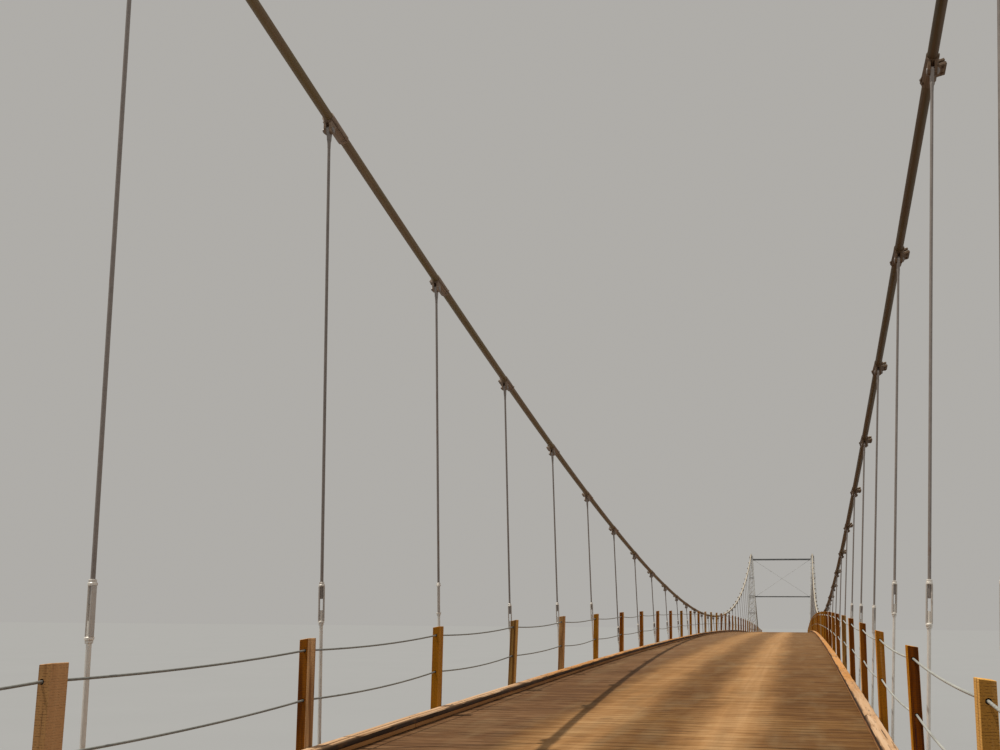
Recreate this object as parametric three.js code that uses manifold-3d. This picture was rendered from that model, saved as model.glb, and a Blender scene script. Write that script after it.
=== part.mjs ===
// Single-lane suspension bridge with a plank deck, as a 1:10 scale model.
// Millimetres of the model: X across the bridge, Y along it, Z up, ground at Z = 0, mid-span at Y = 0.

import * as THREE from "three";
import { mergeVertices } from "three/addons/utils/BufferGeometryUtils.js";
import Module from "manifold-3d";

const wasm = await Module();
wasm.setup();

// Span and panels
const PANEL = 305;
const HALF_PANELS = 16.5;
const HALF_SPAN = PANEL * HALF_PANELS;
const APPROACH = 4 * PANEL;
const DECK_END = HALF_SPAN + APPROACH;
const BREAK = 3 * PANEL;
const BREAKS = 2 * HALF_SPAN / BREAK;

// Levels of the top of the deck
const DECK_TOWER_Z = 800;
const DECK_CROWN = 97;
const DECK_MID_Z = DECK_TOWER_Z + DECK_CROWN;
const APPROACH_SLOPE = 2 * DECK_CROWN / HALF_SPAN;

// Main cables
const CABLE_RADIUS = 5.3;
const CABLE_SIDES = 8;
const CABLE_LOW_Z = DECK_MID_Z + 91;
const CABLE_SAG = 713.5;
const CABLE_MID_X = 293.9;
const CABLE_TOWER_X = 331.8;
const CABLE_ANCHOR_X = 349;
const SADDLE_HALF = 22;
const ANCHOR_Y = HALF_SPAN + 2000;
const ANCHOR_Z = 740;
const MAIN_SLOPE = 2 * CABLE_SAG / HALF_SPAN;

// Hangers, cable bands and turnbuckles
const LAST_HANGER = 16;
const HANGER_RADIUS = 1.75;
const HANGER_SIDES = 6;
const HANGER_FOOT_X = 281.8;
const HANGER_FOOT_DROP = 69.5;
const BAND_LUG = { length: 14, across: 5, down: 19.5, sink: 2 };
const TURNBUCKLE = { from: 117.5, to: 160.5, across: 7.5, along: 5 };
const TURNBUCKLE_ROOM = 20;
const SEAT_PLATE = { inner: 262, outer: 290, along: 15, thick: 2.5 };

// Deck, framing and kerbs
const CLEAR = 0.3;
const PLANK_HALF = 266;
const PLANK_THICK = 7.5;
const STRINGER_X = [-240, -80, 80, 240];
const STRINGER_WIDTH = 20;
const STRINGER_DEPTH = 30;
const BEAM_HALF = 279;
const BEAM_WIDTH = 16;
const BEAM_DEPTH = 30;
const KERB_OUT = 266.5;
const KERB_WIDTH = 15.5;
const KERB_HEIGHT = 12.5;
const SINK = 1;
const STRINGER_TOP = -PLANK_THICK - CLEAR;
const STRINGER_UNDER = STRINGER_TOP - STRINGER_DEPTH;
const BEAM_UNDER = STRINGER_UNDER - BEAM_DEPTH;

// Railings
const POST_ACROSS = 8.9;
const POST_ALONG = 14;
const POST_TOP = 110;
const POST_FOOT = 40;
const POST_SHIFT = -44.5;
const ROPE_RADIUS = 0.8;
const ROPE_SIDES = 4;
const ROPE_HEIGHTS = [98.5, 53.5];
const LAST_POST = 20;

// Towers
const LEG_FOOT_Z = 500;
const LEG_TOP_Z = 1677.5;
const LEG_FOOT = 123;
const LEG_TOP = 27;
const CHORD = 9;
const TIE = 5;
const BASE_PLATE = { size: 150, thick: 5 };
const CAP_PLATE = { size: 40, thick: 5 };
const TOP_STRUT = { z: 1641, deep: 20, along: 14 };
const LOW_STRUT = { z: 1236, deep: 12, along: 12 };
const TIE_LEVELS = [690, 880, 1060, LOW_STRUT.z, 1440, TOP_STRUT.z];
const BRACE = { radius: 1.4, sides: 6, sink: 6 };
const TRANSOM = { deep: 72, along: 56 };
const SADDLE = { along: 52, across: 24 };

// Concrete
const PIER_TOP = 172;
const PIER_FOOT = 216;
const PIER_WALL = { thick: 60, top: 430 };
const SEAT = { along: 34, back: 30, half: 280 };
const WING = { thick: 30, length: 330, drop: 120 };
const GIRDER = { x: 200, width: 24, deep: 50, sink: 8 };
const GIRDER_TOP = BEAM_UNDER + GIRDER.sink;
const CROSS_BEAM_PANELS = [17, 18.5, 20];
const BLOCK = { half: 80, face: 75, back: 160 };

const COLOURS = {
  cable: { color: 0x857f72, roughness: 0.6, metalness: 0.5 },
  steel: { color: 0x8a8d8c, roughness: 0.55, metalness: 0.6 },
  plank: { color: 0x7d5f45, roughness: 0.9, metalness: 0 },
  stringer: { color: 0x6a5140, roughness: 0.9, metalness: 0 },
  kerb: { color: 0xb88f5f, roughness: 0.85, metalness: 0 },
  post: { color: 0xa8743c, roughness: 0.85, metalness: 0 },
  concrete: { color: 0xb5afa3, roughness: 0.95, metalness: 0 },
};

const group = new THREE.Group();

function addMesh(name, geometry, colour) {
  const mesh = new THREE.Mesh(geometry, new THREE.MeshStandardMaterial(COLOURS[colour]));
  mesh.name = name;
  group.add(mesh);
  return mesh;
}

// Joins and cuts of closed meshes
function toSolid(geometry) {
  const bare = geometry.clone();
  bare.deleteAttribute("normal");
  bare.deleteAttribute("uv");
  const merged = mergeVertices(bare, 1e-4);
  const mesh = new wasm.Mesh({
    numProp: 3,
    vertProperties: new Float32Array(merged.attributes.position.array),
    triVerts: new Uint32Array(merged.index.array),
  });
  return new wasm.Manifold(mesh);
}

function fromSolid(solid) {
  const mesh = solid.getMesh();
  const geometry = new THREE.BufferGeometry();
  geometry.setAttribute("position", new THREE.BufferAttribute(new Float32Array(mesh.vertProperties), 3));
  geometry.setIndex(new THREE.BufferAttribute(new Uint32Array(mesh.triVerts), 1));
  return geometry;
}

function join(pieces) {
  let solid = toSolid(pieces[0]);
  for (const piece of pieces.slice(1)) {
    solid = solid.add(toSolid(piece));
  }
  return fromSolid(solid);
}

function cut(piece, tool) {
  return fromSolid(toSolid(piece).subtract(toSolid(tool)));
}

// Basic shapes
function box(x0, x1, y0, y1, z0, z1) {
  const geometry = new THREE.BoxGeometry(x1 - x0, y1 - y0, z1 - z0);
  geometry.translate((x0 + x1) / 2, (y0 + y1) / 2, (z0 + z1) / 2);
  return geometry;
}

// A profile of [y, z] points, pushed along X from x0 to x1
function sideProfile(points, x0, x1) {
  const shape = new THREE.Shape(points.map(([y, z]) => new THREE.Vector2(y, z)));
  const geometry = new THREE.ExtrudeGeometry(shape, { depth: x1 - x0, bevelEnabled: false });
  const basis = new THREE.Matrix4().makeBasis(
    new THREE.Vector3(0, 1, 0),
    new THREE.Vector3(0, 0, 1),
    new THREE.Vector3(1, 0, 0),
  );
  geometry.applyMatrix4(basis);
  geometry.translate(x0, 0, 0);
  return geometry;
}

// A bar of square or many-sided section from a to b
function bar(a, b, radius, sides, turn = 0) {
  const start = new THREE.Vector3(...a);
  const end = new THREE.Vector3(...b);
  const direction = new THREE.Vector3().subVectors(end, start);
  const geometry = new THREE.CylinderGeometry(radius, radius, direction.length(), sides);
  geometry.rotateY(turn);
  const up = new THREE.Vector3(0, 1, 0);
  geometry.applyQuaternion(new THREE.Quaternion().setFromUnitVectors(up, direction.clone().normalize()));
  const middle = start.clone().add(end).multiplyScalar(0.5);
  geometry.translate(middle.x, middle.y, middle.z);
  return geometry;
}

function squareBar(a, b, width) {
  return bar(a, b, width / Math.SQRT2, 4, Math.PI / 4);
}

// A curve through given points, one step of the sweep for each stretch
class Route extends THREE.Curve {
  constructor(points) {
    super();
    this.points = points.map((p) => new THREE.Vector3(...p));
  }

  getPoint(t, target = new THREE.Vector3()) {
    const place = Math.min(Math.max(t, 0), 1) * (this.points.length - 1);
    const index = Math.min(Math.floor(place), this.points.length - 2);
    return target.lerpVectors(this.points[index], this.points[index + 1], place - index);
  }

  getUtoTmapping(u) {
    return u;
  }
}

function tube(points, radius, sides) {
  const shape = new THREE.Shape();
  for (let i = 0; i < sides; i += 1) {
    const angle = 2 * Math.PI * (i + 0.5) / sides;
    const x = radius * Math.cos(angle);
    const y = radius * Math.sin(angle);
    if (i === 0) {
      shape.moveTo(x, y);
    } else {
      shape.lineTo(x, y);
    }
  }
  shape.closePath();
  return new THREE.ExtrudeGeometry(shape, {
    steps: points.length - 1,
    extrudePath: new Route(points),
    bevelEnabled: false,
  });
}

// Height of the top of the deck: straight stretches of three panels between points on a parabola,
// and straight approaches
function crownZ(y) {
  return DECK_MID_Z - DECK_CROWN * (y / HALF_SPAN) ** 2;
}

function deckZ(y) {
  const away = Math.abs(y);
  if (away > HALF_SPAN) {
    return DECK_TOWER_Z - APPROACH_SLOPE * (away - HALF_SPAN);
  }
  const place = (away + BREAK / 2) / BREAK;
  const near = (Math.floor(place) - 0.5) * BREAK;
  const share = place - Math.floor(place);
  return crownZ(near) * (1 - share) + crownZ(near + BREAK) * share;
}

// Places along the deck between y0 and y1: its ends and the breaks between them
function deckStations(y0, y1) {
  const stations = [y0];
  for (let k = 0; k <= BREAKS; k += 1) {
    const y = k * BREAK - HALF_SPAN;
    if (y > y0 && y < y1) {
      stations.push(y);
    }
  }
  stations.push(y1);
  return stations;
}

// A strip that follows the deck, between two heights measured from its top
function deckStrip(x0, x1, y0, y1, top, bottom) {
  const stations = deckStations(y0, y1);
  const lower = stations.map((y) => [y, deckZ(y) + bottom]);
  const upper = stations.map((y) => [y, deckZ(y) + top]).reverse();
  return sideProfile([...lower, ...upper], x0, x1);
}

// Centre line of a main cable at a place along the bridge
function cableX(y) {
  const away = Math.abs(y);
  if (away <= HALF_SPAN) {
    return CABLE_MID_X + (CABLE_TOWER_X - CABLE_MID_X) * (away / HALF_SPAN) ** 2;
  }
  const share = (away - HALF_SPAN) / (ANCHOR_Y - HALF_SPAN);
  return CABLE_TOWER_X + (CABLE_ANCHOR_X - CABLE_TOWER_X) * share;
}

function parabolaZ(y) {
  return CABLE_LOW_Z + CABLE_SAG * (y / HALF_SPAN) ** 2;
}

// The bend over the saddle is a parabola that meets both slopes
const BEND_START = HALF_SPAN - SADDLE_HALF;
const BEND_START_Z = parabolaZ(BEND_START);
const BACK_RUN = ANCHOR_Y - HALF_SPAN - SADDLE_HALF;
const BACK_SLOPE = (BEND_START_Z + MAIN_SLOPE * SADDLE_HALF - ANCHOR_Z) / (BACK_RUN + SADDLE_HALF);

function cableZ(y) {
  const away = Math.abs(y);
  if (away <= BEND_START) {
    return parabolaZ(away);
  }
  const past = away - BEND_START;
  if (past <= 2 * SADDLE_HALF) {
    return BEND_START_Z + MAIN_SLOPE * past - (MAIN_SLOPE + BACK_SLOPE) * past ** 2 / (4 * SADDLE_HALF);
  }
  return ANCHOR_Z + BACK_SLOPE * (ANCHOR_Y - away);
}

function cableRoute(side) {
  const half = [ANCHOR_Y - CLEAR, HALF_SPAN + SADDLE_HALF];
  half.push(HALF_SPAN + SADDLE_HALF / 2, HALF_SPAN, HALF_SPAN - SADDLE_HALF / 2, BEND_START);
  for (let n = LAST_HANGER; n >= 1; n -= 1) {
    half.push(n * PANEL);
  }
  const places = [...half.map((y) => -y), 0, ...half.slice().reverse()];
  return places.map((y) => [side * cableX(y), y, cableZ(y)]);
}

// Hanger lines run from the cable to the floor beam end, leaning out as they rise
function hangerX(side, y, z) {
  const footZ = deckZ(y) - HANGER_FOOT_DROP;
  const share = (z - footZ) / (cableZ(y) - footZ);
  return side * (HANGER_FOOT_X + (cableX(y) - HANGER_FOOT_X) * share);
}

function hangerPieces(side, y) {
  const deck = deckZ(y);
  const top = cableZ(y);
  const foot = deck - HANGER_FOOT_DROP;
  const lugFoot = top - BAND_LUG.down;
  const rodTop = lugFoot + BAND_LUG.sink;
  const pieces = [];
  pieces.push(bar(
    [hangerX(side, y, foot), y, foot],
    [hangerX(side, y, rodTop), y, rodTop],
    HANGER_RADIUS, HANGER_SIDES,
  ));
  const lugX = side * cableX(y);
  pieces.push(box(
    lugX - BAND_LUG.across / 2, lugX + BAND_LUG.across / 2,
    y - BAND_LUG.length / 2, y + BAND_LUG.length / 2,
    lugFoot, top - BAND_LUG.sink,
  ));
  if (top - deck > TURNBUCKLE.to + TURNBUCKLE_ROOM) {
    const middle = hangerX(side, y, deck + (TURNBUCKLE.from + TURNBUCKLE.to) / 2);
    pieces.push(box(
      middle - TURNBUCKLE.along / 2, middle + TURNBUCKLE.along / 2,
      y - TURNBUCKLE.across / 2, y + TURNBUCKLE.across / 2,
      deck + TURNBUCKLE.from, deck + TURNBUCKLE.to,
    ));
  }
  const seatTop = deck + BEAM_UNDER - CLEAR;
  const [x0, x1] = side > 0 ? [SEAT_PLATE.inner, SEAT_PLATE.outer] : [-SEAT_PLATE.outer, -SEAT_PLATE.inner];
  pieces.push(box(
    x0, x1, y - SEAT_PLATE.along / 2, y + SEAT_PLATE.along / 2,
    seatTop - SEAT_PLATE.thick, seatTop,
  ));
  return pieces;
}

function mainCable(side) {
  const pieces = [tube(cableRoute(side), CABLE_RADIUS, CABLE_SIDES)];
  for (let n = -LAST_HANGER; n <= LAST_HANGER; n += 1) {
    pieces.push(...hangerPieces(side, n * PANEL));
  }
  return join(pieces);
}

function floorBeam(y) {
  const half = BEAM_WIDTH / 2;
  const top = deckZ(y) + STRINGER_UNDER + SINK;
  return box(-BEAM_HALF, BEAM_HALF, y - half, y + half, deckZ(y) + BEAM_UNDER, top);
}

function stringers(y0, y1) {
  const half = STRINGER_WIDTH / 2;
  return STRINGER_X.map((x) => deckStrip(x - half, x + half, y0, y1, STRINGER_TOP, STRINGER_UNDER));
}

function mainFraming(y0, y1) {
  const pieces = stringers(y0, y1);
  for (let n = -LAST_HANGER; n <= LAST_HANGER; n += 1) {
    if (n * PANEL > y0 && n * PANEL < y1) {
      pieces.push(floorBeam(n * PANEL));
    }
  }
  return join(pieces);
}

// Approach framing: stringers on cross beams, over two deep girders
function approachFraming(end) {
  const start = HALF_SPAN + CLEAR / 2;
  const stop = DECK_END - CLEAR;
  const [y0, y1] = end > 0 ? [start, stop] : [-stop, -start];
  const pieces = stringers(y0, y1);
  const girderStart = HALF_SPAN + TRANSOM.along / 2 + CLEAR;
  const [g0, g1] = end > 0 ? [girderStart, stop] : [-stop, -girderStart];
  for (const side of [-1, 1]) {
    const x = side * GIRDER.x;
    const half = GIRDER.width / 2;
    pieces.push(deckStrip(x - half, x + half, g0, g1, GIRDER_TOP, GIRDER_TOP - GIRDER.deep));
  }
  for (const n of CROSS_BEAM_PANELS) {
    pieces.push(floorBeam(end * n * PANEL));
  }
  return join(pieces);
}

// Railing: posts along one side with two wire ropes drawn through them
function postY(n) {
  return n * PANEL + POST_SHIFT;
}

function railing(side) {
  const x = side * (KERB_OUT + CLEAR + POST_ACROSS / 2);
  const pieces = [];
  for (const height of ROPE_HEIGHTS) {
    const points = [];
    for (let n = -LAST_POST; n <= LAST_POST; n += 1) {
      points.push([x, postY(n), deckZ(postY(n)) + height]);
    }
    pieces.push(tube(points, ROPE_RADIUS, ROPE_SIDES));
  }
  for (let n = -LAST_POST; n <= LAST_POST; n += 1) {
    const y = postY(n);
    const deck = deckZ(y);
    pieces.push(box(
      x - POST_ACROSS / 2, x + POST_ACROSS / 2,
      y - POST_ALONG / 2, y + POST_ALONG / 2,
      deck - POST_FOOT, deck + POST_TOP,
    ));
  }
  return join(pieces);
}

// Width between the chord centres of a tower leg at a height
function legWidth(z) {
  const share = (z - LEG_FOOT_Z) / (LEG_TOP_Z - LEG_FOOT_Z);
  return LEG_FOOT + (LEG_TOP - LEG_FOOT) * share;
}

// The face of a leg towards the road, at a height
function legInnerX(z) {
  return CABLE_TOWER_X - legWidth(z) / 2 - CHORD / 2 - CLEAR;
}

function towerLeg(x, y) {
  const plateTop = LEG_FOOT_Z + CLEAR + BASE_PLATE.thick;
  const base = BASE_PLATE.size / 2;
  const cap = CAP_PLATE.size / 2;
  const pieces = [
    box(x - base, x + base, y - base, y + base, LEG_FOOT_Z + CLEAR, plateTop),
    box(x - cap, x + cap, y - cap, y + cap, LEG_TOP_Z - CAP_PLATE.thick, LEG_TOP_Z),
  ];
  const corners = [[-1, -1], [1, -1], [1, 1], [-1, 1]];
  for (const [cx, cy] of corners) {
    const foot = legWidth(LEG_FOOT_Z) / 2;
    const top = legWidth(LEG_TOP_Z) / 2;
    pieces.push(squareBar(
      [x + cx * foot, y + cy * foot, LEG_FOOT_Z + CLEAR + SINK],
      [x + cx * top, y + cy * top, LEG_TOP_Z - SINK],
      CHORD,
    ));
  }
  for (const z of TIE_LEVELS) {
    const w = legWidth(z) / 2;
    corners.forEach(([cx, cy], index) => {
      const [nx, ny] = corners[(index + 1) % 4];
      pieces.push(squareBar([x + cx * w, y + cy * w, z], [x + nx * w, y + ny * w, z], TIE));
    });
  }
  return join(pieces);
}

// Struts that end on the ties of the legs, between the chords, and two crossed rods
function strutHalf(z) {
  return CABLE_TOWER_X - legWidth(z) / 2 - TIE / 2 - CLEAR;
}

function portalBracing(y) {
  const topHalf = strutHalf(TOP_STRUT.z);
  const lowHalf = strutHalf(LOW_STRUT.z);
  const pieces = [
    box(-topHalf, topHalf, y - TOP_STRUT.along / 2, y + TOP_STRUT.along / 2,
      TOP_STRUT.z - TOP_STRUT.deep / 2, TOP_STRUT.z + TOP_STRUT.deep / 2),
    box(-lowHalf, lowHalf, y - LOW_STRUT.along / 2, y + LOW_STRUT.along / 2,
      LOW_STRUT.z - LOW_STRUT.deep / 2, LOW_STRUT.z + LOW_STRUT.deep / 2),
  ];
  for (const side of [-1, 1]) {
    pieces.push(bar(
      [side * (topHalf - BRACE.sink), y, TOP_STRUT.z],
      [-side * (lowHalf - BRACE.sink), y, LOW_STRUT.z],
      BRACE.radius, BRACE.sides,
    ));
  }
  return join(pieces);
}

function transom(y) {
  const top = STRINGER_UNDER - CLEAR;
  const bottom = top - TRANSOM.deep;
  const half = legInnerX(DECK_TOWER_Z + bottom - SINK) - CLEAR;
  return deckStrip(-half, half, y - TRANSOM.along / 2, y + TRANSOM.along / 2, top, bottom);
}

function saddle(side, y) {
  const x = side * CABLE_TOWER_X;
  const block = box(
    x - SADDLE.across / 2, x + SADDLE.across / 2,
    y - SADDLE.along / 2, y + SADDLE.along / 2,
    LEG_TOP_Z + CLEAR, cableZ(HALF_SPAN),
  );
  return cut(block, tube(cableRoute(side), CABLE_RADIUS + 2 * CLEAR, CABLE_SIDES));
}

// A pier: two tapered pedestals with a wall between them
function pier(y) {
  const pieces = [];
  const topRadius = PIER_TOP / Math.SQRT2;
  const footRadius = PIER_FOOT / Math.SQRT2;
  for (const side of [-1, 1]) {
    const pedestal = new THREE.CylinderGeometry(topRadius, footRadius, LEG_FOOT_Z, 4);
    pedestal.rotateY(Math.PI / 4);
    pedestal.rotateX(Math.PI / 2);
    pedestal.translate(side * CABLE_TOWER_X, y, LEG_FOOT_Z / 2);
    pieces.push(pedestal);
  }
  const half = PIER_WALL.thick / 2;
  pieces.push(box(-CABLE_TOWER_X, CABLE_TOWER_X, y - half, y + half, 0, PIER_WALL.top));
  return join(pieces);
}

// Side profiles are drawn for the north end and mirrored for the south one
function atEnd(points, end) {
  return end > 0 ? points : points.map(([y, z]) => [-y, z]).reverse();
}

// An abutment: a front wall with a bearing seat, and a back wall up to the road
function abutment(end) {
  const roadZ = deckZ(DECK_END);
  const seatZ = roadZ + GIRDER_TOP - GIRDER.deep - CLEAR;
  const front = DECK_END - SEAT.along;
  const back = DECK_END + SEAT.back;
  const wall = [[front, 0], [back, 0], [back, roadZ], [DECK_END, roadZ], [DECK_END, seatZ], [front, seatZ]];
  return sideProfile(atEnd(wall, end), -SEAT.half, SEAT.half);
}

// A wing wall that holds the road's fill behind the abutment
function wingWall(side, end) {
  const roadZ = deckZ(DECK_END);
  const start = DECK_END + SEAT.back + CLEAR;
  const stop = start + WING.length;
  const wall = [[start, 0], [stop, 0], [stop, roadZ - WING.drop], [start, roadZ]];
  const [x0, x1] = side > 0 ? [SEAT.half - WING.thick, SEAT.half] : [-SEAT.half, WING.thick - SEAT.half];
  return sideProfile(atEnd(wall, end), x0, x1);
}

// An anchorage block whose sloping face takes the end of the cable square on
function anchorage(side, end) {
  const z0 = ANCHOR_Z - BLOCK.face;
  const z1 = ANCHOR_Z + BLOCK.face;
  const y0 = ANCHOR_Y - BACK_SLOPE * BLOCK.face;
  const y1 = ANCHOR_Y + BACK_SLOPE * BLOCK.face;
  const stop = ANCHOR_Y + BLOCK.back;
  const points = [[y0, 0], [stop, 0], [stop, z1], [y1, z1], [y0, z0]];
  const x = side * CABLE_ANCHOR_X;
  return sideProfile(atEnd(points, end), x - BLOCK.half, x + BLOCK.half);
}

const SIDES = [["west", -1], ["east", 1]];
const ENDS = [["south", -1], ["north", 1]];
const SECTION_JOINTS = [-16.5, -10.5, -4.5, 4.5, 10.5, 16.5];

for (const [side, sx] of SIDES) {
  addMesh(`${side}_main_cable`, mainCable(sx), "cable");
  addMesh(`${side}_railing`, railing(sx), "post");
  const inner = KERB_OUT - KERB_WIDTH;
  const [x0, x1] = sx > 0 ? [inner, KERB_OUT] : [-KERB_OUT, -inner];
  const stop = DECK_END - CLEAR;
  addMesh(`${side}_kerb`, deckStrip(x0, x1, -stop, stop, KERB_HEIGHT, CLEAR), "kerb");
}

for (let k = 0; k < SECTION_JOINTS.length - 1; k += 1) {
  const y0 = SECTION_JOINTS[k] * PANEL + CLEAR / 2;
  const y1 = SECTION_JOINTS[k + 1] * PANEL - CLEAR / 2;
  addMesh(`deck_planks_${k + 1}`, deckStrip(-PLANK_HALF, PLANK_HALF, y0, y1, 0, -PLANK_THICK), "plank");
  addMesh(`floor_framing_${k + 1}`, mainFraming(y0, y1), "stringer");
}

for (const [end, ey] of ENDS) {
  const start = HALF_SPAN + CLEAR / 2;
  const stop = DECK_END - CLEAR;
  const [y0, y1] = ey > 0 ? [start, stop] : [-stop, -start];
  addMesh(`${end}_approach_planks`, deckStrip(-PLANK_HALF, PLANK_HALF, y0, y1, 0, -PLANK_THICK), "plank");
  addMesh(`${end}_approach_framing`, approachFraming(ey), "stringer");
  addMesh(`${end}_portal_bracing`, portalBracing(ey * HALF_SPAN), "steel");
  addMesh(`${end}_transom`, transom(ey * HALF_SPAN), "steel");
  addMesh(`${end}_pier`, pier(ey * HALF_SPAN), "concrete");
  addMesh(`${end}_abutment`, abutment(ey), "concrete");
  for (const [side, sx] of SIDES) {
    addMesh(`${end}_${side}_tower_leg`, towerLeg(sx * CABLE_TOWER_X, ey * HALF_SPAN), "steel");
    addMesh(`${end}_${side}_saddle`, saddle(sx, ey * HALF_SPAN), "steel");
    addMesh(`${end}_${side}_wing_wall`, wingWall(sx, ey), "concrete");
    addMesh(`${end}_${side}_anchorage`, anchorage(sx, ey), "concrete");
  }
}

export default group;
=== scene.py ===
"""Dresses the 1:10 scale model of a single-lane suspension bridge with a plank deck.

Lengths are metres of the model: 0.1 here is 1 m of the real bridge. X runs across the bridge, Y along it
and Z up, with the ground at Z = 0 and mid-span at Y = 0.
"""

from itertools import product
import math
import random

import bpy
import numpy as np
from mathutils import Matrix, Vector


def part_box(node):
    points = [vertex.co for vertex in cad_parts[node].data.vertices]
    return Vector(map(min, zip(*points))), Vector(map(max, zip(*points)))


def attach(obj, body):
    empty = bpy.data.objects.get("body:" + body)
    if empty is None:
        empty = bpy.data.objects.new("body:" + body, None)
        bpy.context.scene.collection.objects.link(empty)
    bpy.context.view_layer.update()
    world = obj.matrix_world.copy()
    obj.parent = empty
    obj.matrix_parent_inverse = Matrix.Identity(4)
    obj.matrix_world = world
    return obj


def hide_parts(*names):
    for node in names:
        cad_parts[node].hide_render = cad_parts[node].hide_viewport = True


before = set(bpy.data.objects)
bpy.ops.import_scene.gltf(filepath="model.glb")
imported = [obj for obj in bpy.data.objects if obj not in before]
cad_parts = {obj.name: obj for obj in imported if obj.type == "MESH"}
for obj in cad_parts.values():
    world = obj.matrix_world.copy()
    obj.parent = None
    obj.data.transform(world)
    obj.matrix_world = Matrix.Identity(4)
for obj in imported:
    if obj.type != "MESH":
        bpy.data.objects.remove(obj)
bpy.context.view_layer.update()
rng = random.Random(1399)

# Span, deck and cables
PANEL = 0.305
HALF_SPAN = 16.5 * PANEL
APPROACH = 4 * PANEL
DECK_END = HALF_SPAN + APPROACH
SECTION_JOINTS = (-16.5, -10.5, -4.5, 4.5, 10.5, 16.5)
TOWER_DECK_Z = 0.8
CROWN = 0.097
MID_DECK_Z = TOWER_DECK_Z + CROWN
CABLE_LOW_Z = MID_DECK_Z + 0.091
CABLE_SAG = 0.7135
CABLE_MID_X = 0.2939
CABLE_TOWER_X = 0.3318
CABLE_ANCHOR_X = 0.349
CABLE_RADIUS = 0.0053
SADDLE_HALF = 0.022
ANCHOR_Y = HALF_SPAN + 2.0
ANCHOR_Z = 0.74
MAIN_SLOPE = 2 * CABLE_SAG / HALF_SPAN
BEND_Y = HALF_SPAN - SADDLE_HALF
BEND_Z = CABLE_LOW_Z + CABLE_SAG * (BEND_Y / HALF_SPAN) ** 2
BACK_SLOPE = (BEND_Z + MAIN_SLOPE * SADDLE_HALF - ANCHOR_Z) / (ANCHOR_Y - HALF_SPAN)

# Deck, kerbs and framing, heights measured from the top of the planks
PLANKS_PER_PANEL = 16
PLANK_HALF = 0.2655
PLANK_THICK = 0.0075
STRINGER_X = (-0.24, -0.08, 0.08, 0.24)
STRINGER_TOP = -0.0078
STRINGER_DEPTH = 0.03
STRINGER_WIDTH = 0.0196
BEAM_TOP = STRINGER_TOP - STRINGER_DEPTH
BEAM_DEPTH = 0.03
BEAM_HALF = 0.279
BEAM_WIDTH = 0.016
STIFFENER_X = (-0.262, *STRINGER_X, 0.262)
GIRDER_X = 0.2
GIRDER_WIDTH = 0.024
GIRDER_DEEP = 0.05
GIRDER_TOP = BEAM_TOP - BEAM_DEPTH + 0.008
KERB_IN = 0.251
KERB_OUT = 0.2665
KERB_STRIP = 0.005
KERB_TOP = 0.0125
KERB_LENGTHS = (0.366, 0.427, 0.488)
WEAR = 0.0011
WEAR_STEP = 0.011

# Wheel tracks: the middle between them, their places and half widths, and a bright line beside the east one
TRACK_MIDDLE = 0.015
TRACK_X = 0.08
TRACK_HALF = 0.036
STREAK_X = 0.098

# Posts and ropes
POST_SIZE = (0.0089, 0.014)
POST_X = KERB_OUT + 0.0003 + POST_SIZE[0] / 2
POST_SHIFT = -0.0445
POST_TOP = 0.110
POST_FOOT = 0.040
POST_EASE = 0.0003
LAST_POST = 20
ROPE_HEIGHTS = (0.0985, 0.0535)
ROPE_RADIUS = 0.00095
ROPE_TURNS = 170.0
ROPE_STRANDS = 6
HOLE_RADIUS = 0.0017
HOLE_SIDES = 16
ROPE_SAG = (0.0025, 0.0045)
POST_BLOCK = (0.0155, 0.013, 0.028)
POST_BLOCK_X = 0.2585
POST_BOLT_DROPS = (0.016, 0.032)

# Colours of the posts nearest the camera, as places on the post material's ramp
POST_TONES = {"west": {-15: 1.0, -14: 0.26, -13: 0.45, -12: 0.82, -11: 0.97, -10: 0.5, -9: 0.1, -8: 0.14,
                       -7: 0.12, -6: 0.1, -5: 0.5, -4: 0.4},
              "east": {-15: 0.7, -14: 0.0, -13: 0.4, -12: 0.2, -11: 0.1, -10: 0.78, -9: 0.16, -8: 0.3}}
OTHER_TONES = (0.06, 0.15, 0.28, 0.42, 0.5, 0.66, 0.82, 0.95)
# How some posts stand off their place: outboard, along, lean outboard at the top, hole outboard, top slant
POST_STANDS = {"west": {-15: (0.0, -0.0012, 0.0038, 0.0015, 0.001),
                        -14: (0.0, -0.0084, 0.0038, -0.001, 0.0015),
                        -13: (0.0, -0.0025, 0.0016, 0.0, 0.0015),
                        -12: (0.0, 0.0, -0.0019, 0.0, 0.002)},
               "east": {-15: (0.0011, 0.0054, 0.0004, 0.0, 0.001),
                        -14: (0.0013, -0.0037, -0.0018, 0.0, 0.0015),
                        -13: (0.0, -0.0006, -0.0011, 0.0, 0.002)}}

# Hangers, with the places of their turnbuckles over the deck
LAST_HANGER = 16
HANGER_FOOT_X = 0.2818
HANGER_FOOT_DROP = 0.0695
HANGER_RADIUS = 0.00165
BUCKLE_LOW = 0.1175
BUCKLE_HIGH = 0.1605
BUCKLE_ROOM = 0.02
BUCKLE_LIFTS = ((12, 0.002), (9, -0.0255), (-1, -0.0875))
FOOT_PLATE = (0.028, 0.015, 0.0025)
FOOT_PLATE_X = 0.276
FOOT_NUT = (0.0032, 0.0021)

# Turnbuckles: an open frame of two bars between collars, with lock nuts outside
COLLAR_RADIUS = 0.0031
COLLAR_THICK = 0.0022
LOCK_RADIUS = 0.0027
BAR_THICK = 0.0018
BAR_WIDE = 0.0036
FRAME_ACROSS = 0.0062
ROD_INSIDE_LOW = 0.31
ROD_INSIDE_HIGH = 0.36

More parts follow.
